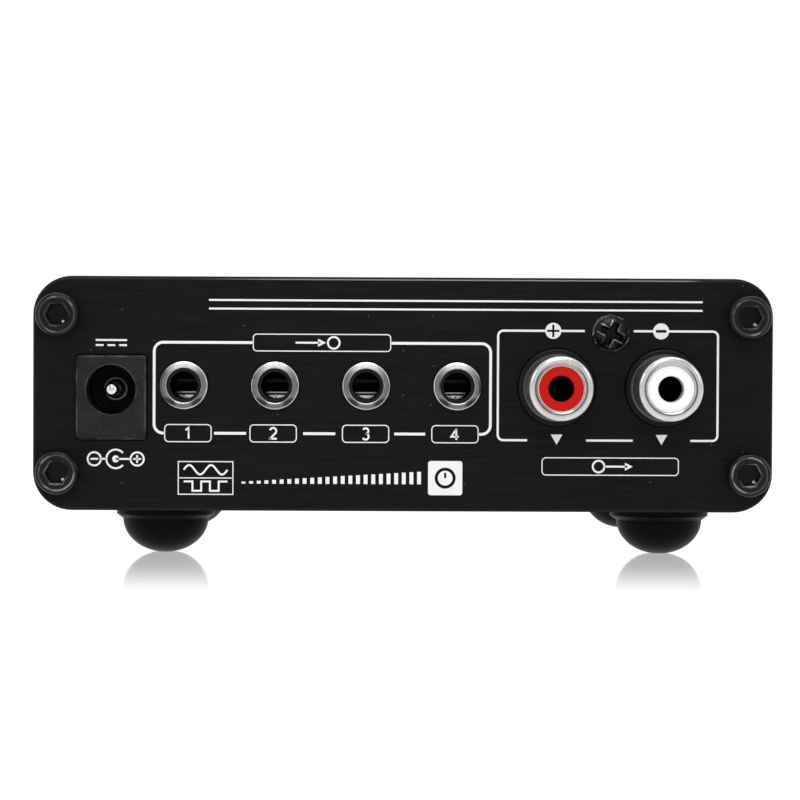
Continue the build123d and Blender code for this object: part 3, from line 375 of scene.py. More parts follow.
def moulded_grey(colour):
    """Rough plastic of the power inlet: pale dust in its grain, edges worn paler, and a painted highlight round
    the boss of its pin.
    """
    well_radius, boss_radius, edge_width = 3.2 * MM, 1.4 * MM, 0.24 * MM
    n = new_finish("moulded_grey")
    x, y, z = n.axes()
    low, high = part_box("dc_jack_housing")
    axis = middle("dc_jack_pin")
    radius = distance(x - axis.x, z - axis.z)
    grain = n.noise(3600, 5)
    patches = n.noise(500, 3)
    dust = n.specks(x, z, 900, 0.07 * MM, 0.1)
    half, centre = (high - low) / 2, (low + high) / 2
    from_side, from_end = half.x - abs(x - centre.x), half.z - abs(z - centre.z)
    border = n.step(n.maths("MINIMUM", from_side, from_end), 0.34 * MM, 0.14 * MM)
    at_face = n.step(y, high.y - 0.4 * MM, high.y - 0.2 * MM)
    # Edges of the face and the mouth of the well, worn paler in patches.
    wear_and_highlight = at_face * (border + n.band(radius, well_radius, edge_width)) * n.step(patches, 0.35, 0.65)
    # Painted highlight: a pale ring round the boss at the foot of the pin, deep in the well.
    boss_highlight = (1 - at_face) * n.band(radius, boss_radius, edge_width)
    grey = n.shades(n.step(0.7 * grain + 0.3 * patches, 0.35, 0.68), colour, 0.65, 1.9)
    dusty = n.tint(0.3 * dust + 0.16 * wear_and_highlight, grey, (0.3, 0.3, 0.31))
    base = n.tint(boss_highlight, dusty, (0.6, 0.6, 0.62))
    return n.surface(base, 0.55 + 0.2 * grain, (grain, 0.06, 0.6), specular=0.16)


def moulded_black(name, colour):
    """Matt black moulded plastic."""
    n = new_finish(name)
    grain = n.noise(4200, 4)
    flow = n.noise((300, 900, 300), 3)
    base = n.shades(0.5 * grain + 0.5 * flow, colour, 0.6, 1.5)
    return n.surface(base, 0.42 + 0.2 * grain, (grain, 0.03, 0.4), specular=0.15)


def turned_nickel(name, colour, dullness, face, shadow, foot_shade=0.0):
    """Plated turning with fine rings and painted shade over its foot. Its face, a middle and a width, has
    painted shade at its sides and bottom.
    """
    n = new_finish(name)
    x, along, z = n.axes(n.share)
    across, up = x - 0.5, z - 0.5
    radius = distance(across, up)
    rings = n.noise(70, 3, n.add("CombineXYZ", sockets={"X": radius, "Y": along}))
    patches = n.step(n.noise(500, 2), 0.35, 0.7)
    # Painted reflection: the face is painted darker at its left, right and bottom, standing in for the bow-tie
    # reflections of a turned face.
    beside = n.step(abs(across) / (radius + 0.001), 0.25, 0.95) + n.step(up, -0.2, -0.4)
    # Painted shade over the foot, standing in for the collar's shadow and the dark panel's reflection.
    foot = foot_shade * n.step(along + 0.04 * patches, 0.68, 0.54)
    plating = n.shades(patches, colour, 1.06, 0.94)
    turned = n.tint(shadow * beside * n.band(radius, *face), plating, shade(colour, 0.05))
    base = n.tint(foot, turned, shade(colour, 0.08))
    roughness = dullness + 0.04 * patches + 0.06 * rings
    return n.surface(base, roughness, (rings, 0.01, 0.1), metallic=1.0)


def plated_thread(name, colour, pitch):
    """Plated steel with fine grooves about the Y axis."""
    n = new_finish(name)
    _, y, _ = n.axes()
    groove = n.maths("PINGPONG", y, pitch / 2) / (pitch / 2)
    stain = n.noise(900, 4)
    base = n.shades(stain, colour, 1.1, 0.7)
    return n.surface(base, 0.22 + 0.2 * stain, (groove, 0.08, 0.5), metallic=1.0)


def plated_plain(name, colour, dullness):
    """Smooth plated metal with stains and rubbing marks."""
    n = new_finish(name)
    stain = n.noise(1100, 4)
    rubbing = n.noise((600, 5000, 600), 2)
    base = n.shades(stain, colour, 1.1, 0.68)
    roughness = dullness + 0.14 * stain + 0.06 * rubbing
    return n.surface(base, roughness, (rubbing, 0.01, 0.3), metallic=1.0)


def jack_contact(colour):
    """Spring metal gone dark, bright only where a plug rubs on it."""
    n = new_finish("jack_contact_silver")
    _, _, height = n.axes(n.share)
    stain = n.noise(1500, 4)
    lip = n.step(height, 0.828, 0.836) * n.step(height, 0.856, 0.852)
    rub = n.step(height, 0.75, 0.775) * n.step(height, 0.815, 0.8) * n.step(stain, 0.32, 0.46)
    base = n.tint(0.3 * lip + rub, shade(colour, 0.035), colour)
    roughness = 0.34 + 0.14 * stain - 0.28 * (lip + rub)
    return n.surface(base, roughness, (stain, 0.005, 0.1), metallic=1.0)


def moulded_gloss(name, colour):
    """Glossy plastic, with painted shade round its hole, a thin darker ring, and a painted highlight along its
    rim.
    """
    n = new_finish(name)
    radius = share_radius(n)
    swirl = n.noise(650, 3)
    # Painted shade: darker round the hole, where its chamfer would be in shade.
    edge = n.step(radius, 0.32, 0.27)
    dark_ring = n.band(radius, 0.445, 0.02)
    # Painted highlight: a pale line along the rounded rim.
    rim = n.band(radius, 0.488, 0.018)
    body = n.shades(0.2 * swirl + 0.5 * edge + 0.35 * dark_ring, colour, 1.0, 0.55)
    base = n.tint(0.8 * rim, body, (0.9, 0.86, 0.85))
    return n.surface(base, 0.26 + 0.12 * swirl, (swirl, 0.02, 0.25), specular=0.12)


def turned_knob(node, colour):
    """Black turned knob: rings and a two-way sheen on its front, and a bright cut edge."""
    n = new_finish(f"{node}_black")
    low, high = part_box(node)
    x, depth, z = n.axes(n.share)
    radius = distance(x - 0.5, z - 0.5)
    rings = n.noise(110, 3, n.add("CombineXYZ", sockets={"X": radius}))
    mottle = n.noise(900, 3)
    sheen = n.step(abs(x - z) / (radius + 0.02), 0.3, 1.4)
    from_rim = (0.5 - radius) * (high.x - low.x)
    near_rim = n.step(from_rim, KNOB_CHAMFER + 0.04 * MM, KNOB_CHAMFER - 0.06 * MM)
    cut = near_rim * (depth < KNOB_CHAMFER / (high.y - low.y))
    black = n.shades(0.45 * rings + 0.55 * sheen, colour, 0.45, 2.1)
    base = n.tint(cut, black, (0.72, 0.72, 0.73))
    roughness = 0.3 + 0.1 * mottle + 0.08 * rings - 0.12 * cut
    return n.surface(base, roughness, (rings, 0.03, 0.35), metallic=0.3 + 0.7 * cut)


def tinted_lens(colour):
    """Tinted lens: deep in colour at its rim, paler over the chip in its middle."""
    n = new_finish("tinted_lens")
    radius = share_radius(n)
    cloud = n.noise(900, 3)
    tinted = n.shades(n.step(radius, 0.4, 0.1) + 0.15 * cloud, colour, 0.2, 0.9)
    base = n.tint(n.step(radius, 0.16, 0.06), tinted, (0.3, 0.46, 0.8))
    return n.surface(base, 0.08 + 0.08 * cloud, (cloud, 0.02, 0.2), coat=0.6)


def masked_board(colour):
    """Solder mask over copper: tracks in two directions, a shade lighter than the mask."""
    fine_pitch, wide_pitch = 1.27 * MM, 2.54 * MM
    n = new_finish("masked_board")
    x, y, _ = n.axes()
    wander = n.noise(60, 1)
    lengthways = n.maths("PINGPONG", x + 0.01 * wander, fine_pitch) / fine_pitch
    crossways = n.maths("PINGPONG", y + 0.02 * wander, wide_pitch) / wide_pitch
    region = n.step(n.noise(90, 0), 0.48, 0.52)
    tracks = region * n.step(lengthways, 0.55, 0.65) + (1 - region) * n.step(crossways, 0.7, 0.76)
    weave = n.noise(1500, 3)
    base = n.shades(0.75 * tracks + 0.25 * weave, colour, 0.75, 2.0)
    return n.surface(base, 0.32 + 0.14 * weave, (tracks, 0.035, 0.6))


def capacitor_sleeve():
    """Shrink sleeve with a pale stripe down one side, under a scored metal top."""
    n = new_finish("capacitor_sleeve")
    low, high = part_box("electrolytic_capacitors")
    diameter = high.y - low.y
    pitch = (high.x - low.x - diameter) / 3
    score_half = 0.15 * MM
    x, y, z = n.axes()
    along = n.maths("WRAP", x, pitch, 0) - pitch / 2
    across = y - (low.y + high.y) / 2
    inside = n.step(distance(along, across), 0.43 * diameter, 0.41 * diameter)
    top = n.step(z, high.z - 0.25 * MM, high.z - 0.1 * MM) * inside
    score = (abs(along) < score_half) + (abs(across) < score_half)
    stripe = (across > 0.32 * diameter) * (1 - top)
    wrinkle = n.noise(1200, 3)
    sleeve = n.tint(stripe, (0.012, 0.014, 0.05), (0.45, 0.47, 0.52))
    metal = n.tint(score, (0.7, 0.7, 0.71), (0.2, 0.2, 0.2))
    base = n.tint(top, sleeve, metal)
    return n.surface(base, 0.28 + 0.16 * wrinkle, (wrinkle, 0.04, 0.4), metallic=top)


def dipped_film():
    """Glossy dipped coating, darker towards its foot."""
    n = new_finish("film_capacitor_dip")
    _, _, height = n.axes(n.share)
    flow = n.noise((900, 900, 300), 3)
    base = n.tint(0.6 * height + 0.4 * flow, (0.2, 0.045, 0.015), (0.42, 0.1, 0.03))
    return n.surface(base, 0.18 + 0.14 * flow, (flow, 0.05, 0.4), coat=0.4)


def screen_ink(colour):
    """Screen printed ink, a little uneven."""
    n = new_finish("screen_ink")
    mesh_marks = n.noise(5200, 3)
    cover = n.noise(800, 3)
    base = n.shades(0.5 * mesh_marks + 0.5 * cover, colour, 1.08, 0.86)
    return n.surface(base, 0.45 + 0.15 * mesh_marks, (mesh_marks, 0.01, 0.3), specular=0.3)


class Printing:
    """Ink shapes on one panel. Points are (u, v) in millimetres, u to the right as one looks at it, v up."""

    def __init__(self, context, rear=True):
        self.settings = context.scene.switch_box_print
        self.ink = ink_of(context)
        self.mesh = bmesh.new()
        self.side = -1.0 if rear else 1.0
        self.face_y = REAR_FACE_Y if rear else FRONT_FACE_Y

    def corner(self, point):
        return self.mesh.verts.new((self.side * point[0] * MM, self.face_y, PANEL_MIDDLE_Z + point[1] * MM))

    def line(self, points, width=None, closed=False):
        """A ribbon along some points, mitred where it turns. Its width is in metres."""
        reach = (width or self.settings.symbol_line) / MM / 2
        points = [Vector(point) for point in points]
        pairs = zip(points, points[1:] + points[:1])
        normals = [(end - start).normalized().orthogonal() for start, end in pairs]
        edges = []
        for index, point in enumerate(points):
            first = normals[index - 1] if closed or index > 0 else normals[index]
            last = normals[index] if closed or index < len(points) - 1 else first
            mitre = (first + last) / max(1 + first.dot(last), 0.5) * reach
            edges.append((self.corner(point + mitre), self.corner(point - mitre)))
        followers = edges[1:] + edges[:1] if closed else edges[1:]
        for (left, right), (next_left, next_right) in zip(edges, followers):
            self.mesh.faces.new((left, right, next_right, next_left))

    def row(self, v, *spans, width=None):
        """Straight level lines, each from one u to another."""
        for start, end in spans:
            self.line([(start, v), (end, v)], width)

    def fill(self, *loops):
        """A filled shape, given by its outline and any holes in it."""
        corners = [self.corner(point) for loop in loops for point in loop]
        for triangle in tessellate_polygon([[Vector(point).to_3d() for point in loop] for loop in loops]):
            self.mesh.faces.new([corners[index] for index in triangle])

    def box(self, left, right, bottom, top, radius):
        """A thin frame with rounded corners. Gives its middle."""
        self.line(rounded_box(left, right, bottom, top, radius), self.settings.box_line, True)
        return ((left + right) / 2, (bottom + top) / 2)

    def number(self, number, place):
        """A plain number with its middle at a place."""
        height = self.settings.number_height / MM
        pitch = 0.8 * height
        digits = str(number)
        for index, digit in enumerate(digits):
            middle_u = place[0] + (index - (len(digits) - 1) / 2) * pitch
            for stroke in DIGIT_STROKES[digit]:
                self.line([(middle_u + u * height, place[1] + v * height) for u, v in stroke])

    def ring_arrow(self, place, ring_u, shaft, head_u):
        """A ring and an arrow to the right, on one line through a place."""
        ring_radius, head_half, head_length = 0.75, 0.5, 1.0
        u, v = place
        back = u + head_u
        self.line(ring((u + ring_u, v), ring_radius, 32), closed=True)
        self.row(v, (u + shaft[0], u + shaft[1]))
        self.fill([(back, v + head_half), (back, v - head_half), (back + head_length, v)])

    def piece(self, name, layers=1.0):
        """The shapes as one piece of ink on the panel."""
        made = bmesh.ops.extrude_face_region(self.mesh, geom=self.mesh.faces[:])
        raised = [part for part in made["geom"] if isinstance(part, bmesh.types.BMVert)]
        rise = -self.side * layers * self.settings.ink_thickness
        bmesh.ops.translate(self.mesh, vec=(0.0, rise, 0.0), verts=raised)
        bmesh.ops.recalc_face_normals(self.mesh, faces=self.mesh.faces[:])
        make_piece(name, self.mesh, self.ink, "chassis")


def new_object(name, shape, finish):
    """Turn a finished bmesh into an object of the scene."""
    mesh = bpy.data.meshes.new(name)
    shape.to_mesh(mesh)
    shape.free()
    mesh.materials.append(finish)
    made = bpy.data.objects.new(name, mesh)
    bpy.context.scene.collection.objects.link(made)
    return made


def make_piece(name, shape, finish, body):
    """Turn a finished bmesh into a piece that rides on a body."""
    piece = new_object(name, shape, finish)
    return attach(piece, body)


def arc(centre, radius, start, end, steps=12):
    """Points along an arc, angles in degrees from the right, turning left."""
    angles = [math.radians(start + (end - start) * i / steps) for i in range(steps + 1)]
    return [(centre[0] + radius * math.cos(a), centre[1] + radius * math.sin(a)) for a in angles]


def ring(centre, radius, steps=48):
    return arc(centre, radius, 0, 360 * (steps - 1) / steps, steps - 1)


def side_corners(side, bottom, top, radius, turn):
    """Points down the two corners at one side of a box. The turn is 90 at its left, -90 at its right."""
    u = side + math.copysign(radius, turn)
    upper = arc((u, top - radius), radius, 90, 90 + turn)
    return upper + arc((u, bottom + radius), radius, 90 + turn, 90 + 2 * turn)


def rounded_box(left, right, bottom, top, radius):
    """Outline of a box with rounded corners, from the top left corner, turning left."""
    back_up = side_corners(right, bottom, top, radius, -90)[::-1]
    return side_corners(left, bottom, top, radius, 90) + back_up


def half_frame(side, bottom, top, radius, top_end, bottom_end):
    """Line from a point on a frame's top, round one side, to a point on its bottom."""
    turn = 90 if top_end > side else -90
    return [(top_end, top), *side_corners(side, bottom, top, radius, turn), (bottom_end, bottom)]


# Strokes of the printed numbers, one unit tall, about their middles
DIGIT_STROKES = {
    "0": [[(0.3 * math.cos(a * math.pi / 12), 0.5 * math.sin(a * math.pi / 12)) for a in range(25)]],
    "1": [[(-0.2, 0.26), (0.06, 0.5), (0.06, -0.5)]],
    "2": [arc((0.0, 0.22), 0.28, 165, -35) + [(-0.3, -0.5)], [(-0.36, -0.46), (0.33, -0.46)]],
    "3": [arc((0.0, 0.25), 0.25, 150, -90), arc((0.0, -0.24), 0.27, 90, -150)],
    "4": [[(0.12, -0.5), (0.12, 0.5)], [(0.12, 0.46), (-0.32, -0.22), (0.34, -0.22)]],
    "5": [[(0.26, 0.46), (-0.22, 0.46), (-0.24, 0.02)], arc((0.0, -0.19), 0.31, 140, -150)],
}


def ink_of(context):
    """The one ink that both panels are printed with."""
    return bpy.data.materials.get("screen_ink") or screen_ink(context.scene.switch_box_print.ink_colour)


class SWITCHBOX_OT_case_finish(bpy.types.Operator):
    """Finish the panels and the shells"""

    bl_idname = "switchbox.case_finish"
    bl_label = "Case"

    def execute(self, context):
        settings = context.scene.switch_box_finish
        dress(brushed_black(settings.panel_colour), "rear_panel", "front_panel")
        dress(extruded_black(settings.shell_colour), "upper_shell", "lower_shell")
        return {"FINISHED"}


class SWITCHBOX_OT_screw_finish(bpy.types.Operator):
    """Finish the panel screws, the cross-head screw and the grub screws"""

    bl_idname = "switchbox.screw_finish"
    bl_label = "Screws"

    def execute(self, context):
        dress(black_oxide("cap_screw_steel", cap_screw_wear), "rear_panel_screws", "front_panel_screws")
        dress(black_oxide("cross_head_steel", cross_head_wear), "phono_screw")
        dress(black_oxide("grub_screw_steel", grub_screw_wear), "volume_grub_screw", "selector_grub_screw")
        return {"FINISHED"}


class SWITCHBOX_OT_foot_finish(bpy.types.Operator):
    """Finish the rubber feet"""

    bl_idname = "switchbox.foot_finish"
    bl_label = "Feet"

    def execute(self, context):
        feet = [f"foot_{end}_{side}" for end in ("front", "rear") for side in ("left", "right")]
        dress(black_rubber(context.scene.switch_box_finish.rubber_colour), *feet)
        return {"FINISHED"}


class SWITCHBOX_OT_socket_finish(bpy.types.Operator):
    """Finish the power inlet, the jacks and the phono sockets"""

    bl_idname = "switchbox.socket_finish"
    bl_label = "Sockets"

    def execute(self, context):
        settings = context.scene.switch_box_finish
        nickel = settings.nickel_colour
        brass = (0.9, 0.78, 0.52)
        silver = (0.97, 0.94, 0.87)
        jack_black = (0.005, 0.0048, 0.0046)
        phono_black = (0.0045, 0.0045, 0.005)
        pin_nickel = turned_nickel("inlet_pin_nickel", nickel, 0.12, (0.4, 0.1), 0.5)
        # Lit and shaded copies of the one nickel: painted lighter on the ferrules and darker on the barrels.
        ferrule_nickel = turned_nickel("ferrule_nickel", shade(nickel, 1.15), 0.22, (0.43, 0.115), 0.82)
        barrel_nickel = turned_nickel("barrel_nickel", shade(nickel, 0.84), 0.22, (0.375, 0.03), 0.8, 0.88)

        def jacks(part):
            """The nodes of one part of every small jack."""
            return [f"line_in_{part}_{number}" for number in JACK_NUMBERS] + [f"line_out_{part}"]

        dress(moulded_grey(settings.inlet_colour), "dc_jack_housing")
        dress(pin_nickel, "dc_jack_pin")
        dress(plated_plain("spring_brass", brass, 0.18), "dc_jack_contacts")
        dress(jack_contact(silver), *jacks("contacts"))
        dress(moulded_black("jack_black", jack_black), *jacks("housing"))
        dress(ferrule_nickel, *jacks("ferrule"))
        dress(moulded_black("phono_black", phono_black), "phono_block")
        dress(plated_plain("dark_brass", shade(brass, 0.02), 0.5), "phono_contact_right", "phono_contact_left")
        dress(barrel_nickel, "phono_barrel_right", "phono_barrel_left")
        dress(moulded_gloss("red_insulator", settings.red_colour), "phono_insulator_right")
        dress(moulded_gloss("white_insulator", settings.white_colour), "phono_insulator_left")
        return {"FINISHED"}


class SWITCHBOX_OT_control_finish(bpy.types.Operator):
    """Finish the selector, the volume control, the power switch and its light"""

    bl_idname = "switchbox.control_finish"
    bl_label = "Controls"

    def execute(self, context):
        settings = context.scene.switch_box_finish
        steel = (0.56, 0.56, 0.55)
        thread = plated_thread("threaded_steel", steel, 0.6 * MM)
        plain = plated_plain("plated_steel", steel, 0.2)
        case = moulded_black("switch_case_black", (0.01, 0.01, 0.0105))
        for control in ("volume", "selector"):
            dress(thread, f"{control}_bushing")
            dress(plain, f"{control}_nut", f"{control}_shaft")
            dress(case, f"{control}_case")
            knob = f"{control}_knob"
            dress(turned_knob(knob, settings.knob_colour), knob)
        dress(case, "power_switch_case")
        dress(plated_thread("threaded_nickel", settings.nickel_colour, 0.5 * MM), "power_switch_bushing")
        dress(plated_plain("bright_nickel", settings.nickel_colour, 0.12), "power_switch_nut", "power_lever")
        dress(tinted_lens(settings.lens_colour), "power_light")
        dress(plain, "power_light_leads")
        return {"FINISHED"}


class SWITCHBOX_OT_board_finish(bpy.types.Operator):
    """Finish the circuit board and the parts on it"""

    bl_idname = "switchbox.board_finish"
    bl_label = "Circuit board"

    def execute(self, context):
        dress(masked_board(context.scene.switch_box_finish.board_colour), "main_board")
        dress(moulded_black("chip_black", (0.014, 0.014, 0.0145)), "amplifier_chips", "voltage_regulator")
        dress(capacitor_sleeve(), "electrolytic_capacitors")
        dress(dipped_film(), "film_capacitors")
        return {"FINISHED"}


class SWITCHBOX_OT_input_print(bpy.types.Operator):
    """Print the frame, the boxes and the numbers round the line inputs"""

    bl_idname = "switchbox.input_print"
    bl_label = "Input printing"

    def execute(self, context):
        frame_line = context.scene.switch_box_print.frame_line
        left, right, bottom, top, radius = -32.0, 11.17, -5.05, 6.6, 1.15
        title_left, title_right, title_bottom, title_top = -19.3, -1.68, 5.54, 7.7
        title_radius, label_radius = 0.45, 0.5
        half_label, half_height = 5.95 / 2, 2.2 / 2
        label_middles = (-27.65, -16.72, -4.85, 6.63)
        bars = ((-24.3, -20.2), (-12.87, -8.75), (-1.17, 2.8))
        first_label, last_label = label_middles[0] - half_label, label_middles[-1] + half_label
        lines = Printing(context)
        lines.line(half_frame(left, bottom, top, radius, title_left, first_label), frame_line)
        lines.line(half_frame(right, bottom, top, radius, title_right, last_label), frame_line)
        lines.row(bottom, *bars, width=frame_line)
        lines.piece("input_frame")

        labels = Printing(context)
        title_middle = labels.box(title_left, title_right, title_bottom, title_top, title_radius)
        for number, u in zip(JACK_NUMBERS, label_middles):
            labels.box(u - half_label, u + half_label, bottom - half_height, bottom + half_height, label_radius)
            labels.number(number, (u, bottom))
        labels.piece("input_labels")

        arrow = Printing(context)
        arrow.ring_arrow(title_middle, 1.5, (-3.4, -0.2), -0.5)
        arrow.piece("input_symbol")
        return {"FINISHED"}


class SWITCHBOX_OT_output_print(bpy.types.Operator):
    """Print the frame and the signs round the phono outputs"""

    bl_idname = "switchbox.output_print"
    bl_label = "Output printing"

    def execute(self, context):
        width = 0.8 * context.scene.switch_box_print.frame_line
        left, right, bottom, top, radius = 12.12, 40.4, -5.78, 8.29, 0.7
        gap_left, gap_right = 23.25, 29.55
        sign_radius, plus_u, minus_u = 1.03, 19.2, 33.07
        first_gap, second_gap = (15.9, 23.5), (29.5, 36.9)
        lines = Printing(context)
        lines.row(top, (plus_u + sign_radius, gap_left), (gap_right, minus_u - sign_radius), width=width)
        lines.row(bottom, (first_gap[1], second_gap[0]), width=width)
        lines.line(half_frame(left, bottom, top, radius, plus_u - sign_radius, first_gap[0]), width)
        lines.line(half_frame(right, bottom, top, radius, minus_u + sign_radius, second_gap[1]), width)
        lines.piece("output_frame")

        signs = Printing(context)
        arm, half = 0.8, 0.14
        upper_half = [(arm, half), (half, half), (half, arm), (-half, arm), (-half, half), (-arm, half)]
        cross = upper_half + [(-x, -y) for x, y in upper_half]
        arm, half = 0.68, 0.18
        bar = [(-arm, -half), (arm, -half), (arm, half), (-arm, half)]
        for hole, u in ((cross, plus_u), (bar, minus_u)):
            signs.fill(ring((u, top), sign_radius), [(u + x, top + y) for x, y in hole])
        base_rise, base_half, tip_drop = 0.75, 0.75, 0.55
        for gap in (first_gap, second_gap):
            u, base = sum(gap) / 2, bottom + base_rise
            signs.fill([(u - base_half, base), (u + base_half, base), (u, bottom - tip_drop)])
        signs.piece("output_signs", layers=1.5)

        title = Printing(context)
        title_middle = title.box(left=17.85, right=35.4, bottom=-10.24, top=-8.02, radius=0.5)
        title.ring_arrow(title_middle, -1.5, (-0.75, 2.2), 1.9)
        title.piece("output_symbol")
        return {"FINISHED"}


class SWITCHBOX_OT_rear_marks(bpy.types.Operator):
    """Print the plain marks on the rest of the rear panel"""

    bl_idname = "switchbox.rear_marks"
    bl_label = "Rear marks"

    def execute(self, context):
        box_line = context.scene.switch_box_print.box_line
        stripe = Printing(context)
        stripe_left, stripe_right = -25.0, 38.4
        for v in (10.95, 12.05):
            stripe.row(v, (stripe_left, stripe_right))
        stripe.piece("pinstripe")

        inlet = Printing(context)
        inlet_u = -middle("dc_jack_housing").x / MM
        bar_v, bar_half, dash_v, dash = 6.85, 2.0, 6.2, 1.0
        inlet.row(bar_v, (inlet_u - bar_half, inlet_u + bar_half))
        for start in (-2.0, -0.5, 1.0):
            inlet.row(dash_v, (inlet_u + start, inlet_u + start + dash))
        u, v = inlet_u + 0.6, -8.4
        cup_radius, dot_radius, reach, sign_radius, arm = 1.2, 0.45, 2.75, 0.85, 0.5
        inlet.line(arc((u, v), cup_radius, 40, 320, 24))
        inlet.fill(ring((u, v), dot_radius, 24))
        inlet.row(v, (u, u + reach - sign_radius), (u - cup_radius, u - reach + sign_radius))
        for sign_u in (u - reach, u + reach):
            inlet.line(ring((sign_u, v), sign_radius, 32), closed=True)
            inlet.row(v, (sign_u - arm, sign_u + arm))
        inlet.line([(u + reach, v - arm), (u + reach, v + arm)])
        inlet.piece("inlet_symbols")

        waves = Printing(context)
        left, right, bottom, divider, top = -28.87, -21.86, -12.9, -10.8, -8.7
        waves.line([(left, bottom), (right, bottom), (right, top), (left, top)], box_line, True)
        waves.row(divider, (left, right), width=box_line)
        margin, swing, steps, pulses = 0.7, 0.6, 60, 5
        start, span = left + margin, right - left - 2 * margin
        upper, lower = (divider + top) / 2, (bottom + divider) / 2
        shares = [i / steps for i in range(steps + 1)]
        waves.line([(start + span * share, upper + swing * math.sin(4 * math.pi * share)) for share in shares])
        square = []
        for i in range(pulses):
            level = lower - swing if i % 2 else lower + swing
            square += [(start + span * i / pulses, level), (start + span * (i + 1) / pulses, level)]
        waves.line(square)
        waves.piece("wave_box")

        bars = Printing(context)
        count, first, pitch, base = 24, -20.5, 0.98, -11.5
        least, growth, width = 0.25, 1.35, 0.5 * MM
        for i in range(count):
            u = first + pitch * i
            bars.line([(u, base), (u, base + least + growth * i / (count - 1))], width)
        bars.piece("level_bars")

        tile = Printing(context)
        u, v, half, radius = 5.4, -10.7, 2.2, 0.35
        hole_radius, dial_radius, hand_half, hand_length = 1.35, 0.95, 0.14, 0.7
        left, right, tip = u - hand_half, u + hand_half, v + hand_length
        tile.fill(rounded_box(u - half, u + half, v - half, v + half, radius), ring((u, v), hole_radius))
        tile.fill(ring((u, v), dial_radius), [(left, v), (right, v), (right, tip), (left, tip)])
        tile.piece("dial_tile")
        return {"FINISHED"}


class SWITCHBOX_OT_front_print(bpy.types.Operator):
    """Print the numbers and ticks round the controls on the front panel"""

    bl_idname = "switchbox.front_print"
    bl_label = "Front printing"

    def execute(self, context):
        def around(node, degrees, reach):
            """A point of the panel about a control, from straight up, turning right."""
            centre = middle(node)
            angle = math.radians(degrees)
            up = (centre.z - PANEL_MIDDLE_Z) / MM
            return (centre.x / MM + reach * math.sin(angle), up + reach * math.cos(angle))

        selector = Printing(context, rear=False)
        tick, number_reach = (8.3, 9.2), 10.7
        for number, degrees in zip(JACK_NUMBERS, (-45, -15, 15, 45)):
            selector.line([around("selector_nut", degrees, reach) for reach in tick])
            selector.number(number, around("selector_nut", degrees, number_reach))
        selector.piece("selector_scale")

        volume = Printing(context, rear=False)
        tick_start, long_tick, short_tick, number_reach = 9.3, 1.2, 0.8, 12.7
        first, pitch, marks, number_pitch = -150, 30, 11, 5
        for step in range(marks):
            degrees = first + pitch * step
            numbered = step % number_pitch == 0
            tick = (tick_start, tick_start + (long_tick if numbered else short_tick))
            volume.line([around("volume_nut", degrees, reach) for reach in tick])
            if numbered:
                volume.number(step, around("volume_nut", degrees, number_reach))
        volume.piece("volume_scale")

        power = Printing(context, rear=False)
        number_reach, symbol_reach = 7.2, 5.6
        for number, degrees in ((1, 0), (0, 180)):
            power.number(number, around("power_switch_nut", degrees, number_reach))
        power.ring_arrow(around("line_out_ferrule", 0, symbol_reach), -1.2, (-0.45, 1.0), 0.8)
        power.piece("power_marks")
        return {"FINISHED"}


class SWITCHBOX_OT_knob_lines(bpy.types.Operator):
    """Fill the pointer grooves of both knobs with white paint"""

    bl_idname = "switchbox.knob_lines"
    bl_label = "Knob lines"

    def execute(self, context):
        groove_width, groove_length, groove_depth = 0.9 * MM, 5.0 * MM, 0.4 * MM
        gap, fill_depth, columns = 0.02 * MM, 0.3 * MM, 8
        half = groove_width / 2 - gap
        # Shares of the half width and of the depth, round the paint's section
        profile = ((-1, 0), (-1, 0.55), (-0.6, 0.9), (0, 1), (0.6, 0.9), (1, 0.55), (1, 0))
        rest_degrees = {"volume": 0.0, "selector": -45.0}
        for control, degrees in rest_degrees.items():
            low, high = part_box(f"{control}_knob")
            centre = middle(f"{control}_shaft")
            radius = (high.x - low.x) / 2
            start, end = radius - groove_length + gap, radius - KNOB_CHAMFER - gap
            turn = Matrix.Rotation(math.radians(degrees), 4, "Y")
            seat = Matrix.Translation((centre.x, low.y + groove_depth - gap, centre.z)) @ turn
            shape = bmesh.new()
            sections = []
            for i in range(columns + 1):
                up = start + (end - start) * i / columns
                corners = [seat @ Vector((across * half, -fill_depth * rise, up)) for across, rise in profile]
                sections.append([shape.verts.new(corner) for corner in corners])
            for section, following in zip(sections, sections[1:]):
                for i in range(len(profile)):
                    shape.faces.new((section[i - 1], section[i], following[i], following[i - 1]))
            shape.faces.new(sections[0])
            shape.faces.new(sections[-1])
            bmesh.ops.recalc_face_normals(shape, faces=shape.faces[:])
            make_piece(f"{control}_knob_line", shape, ink_of(context), control)
        return {"FINISHED"}


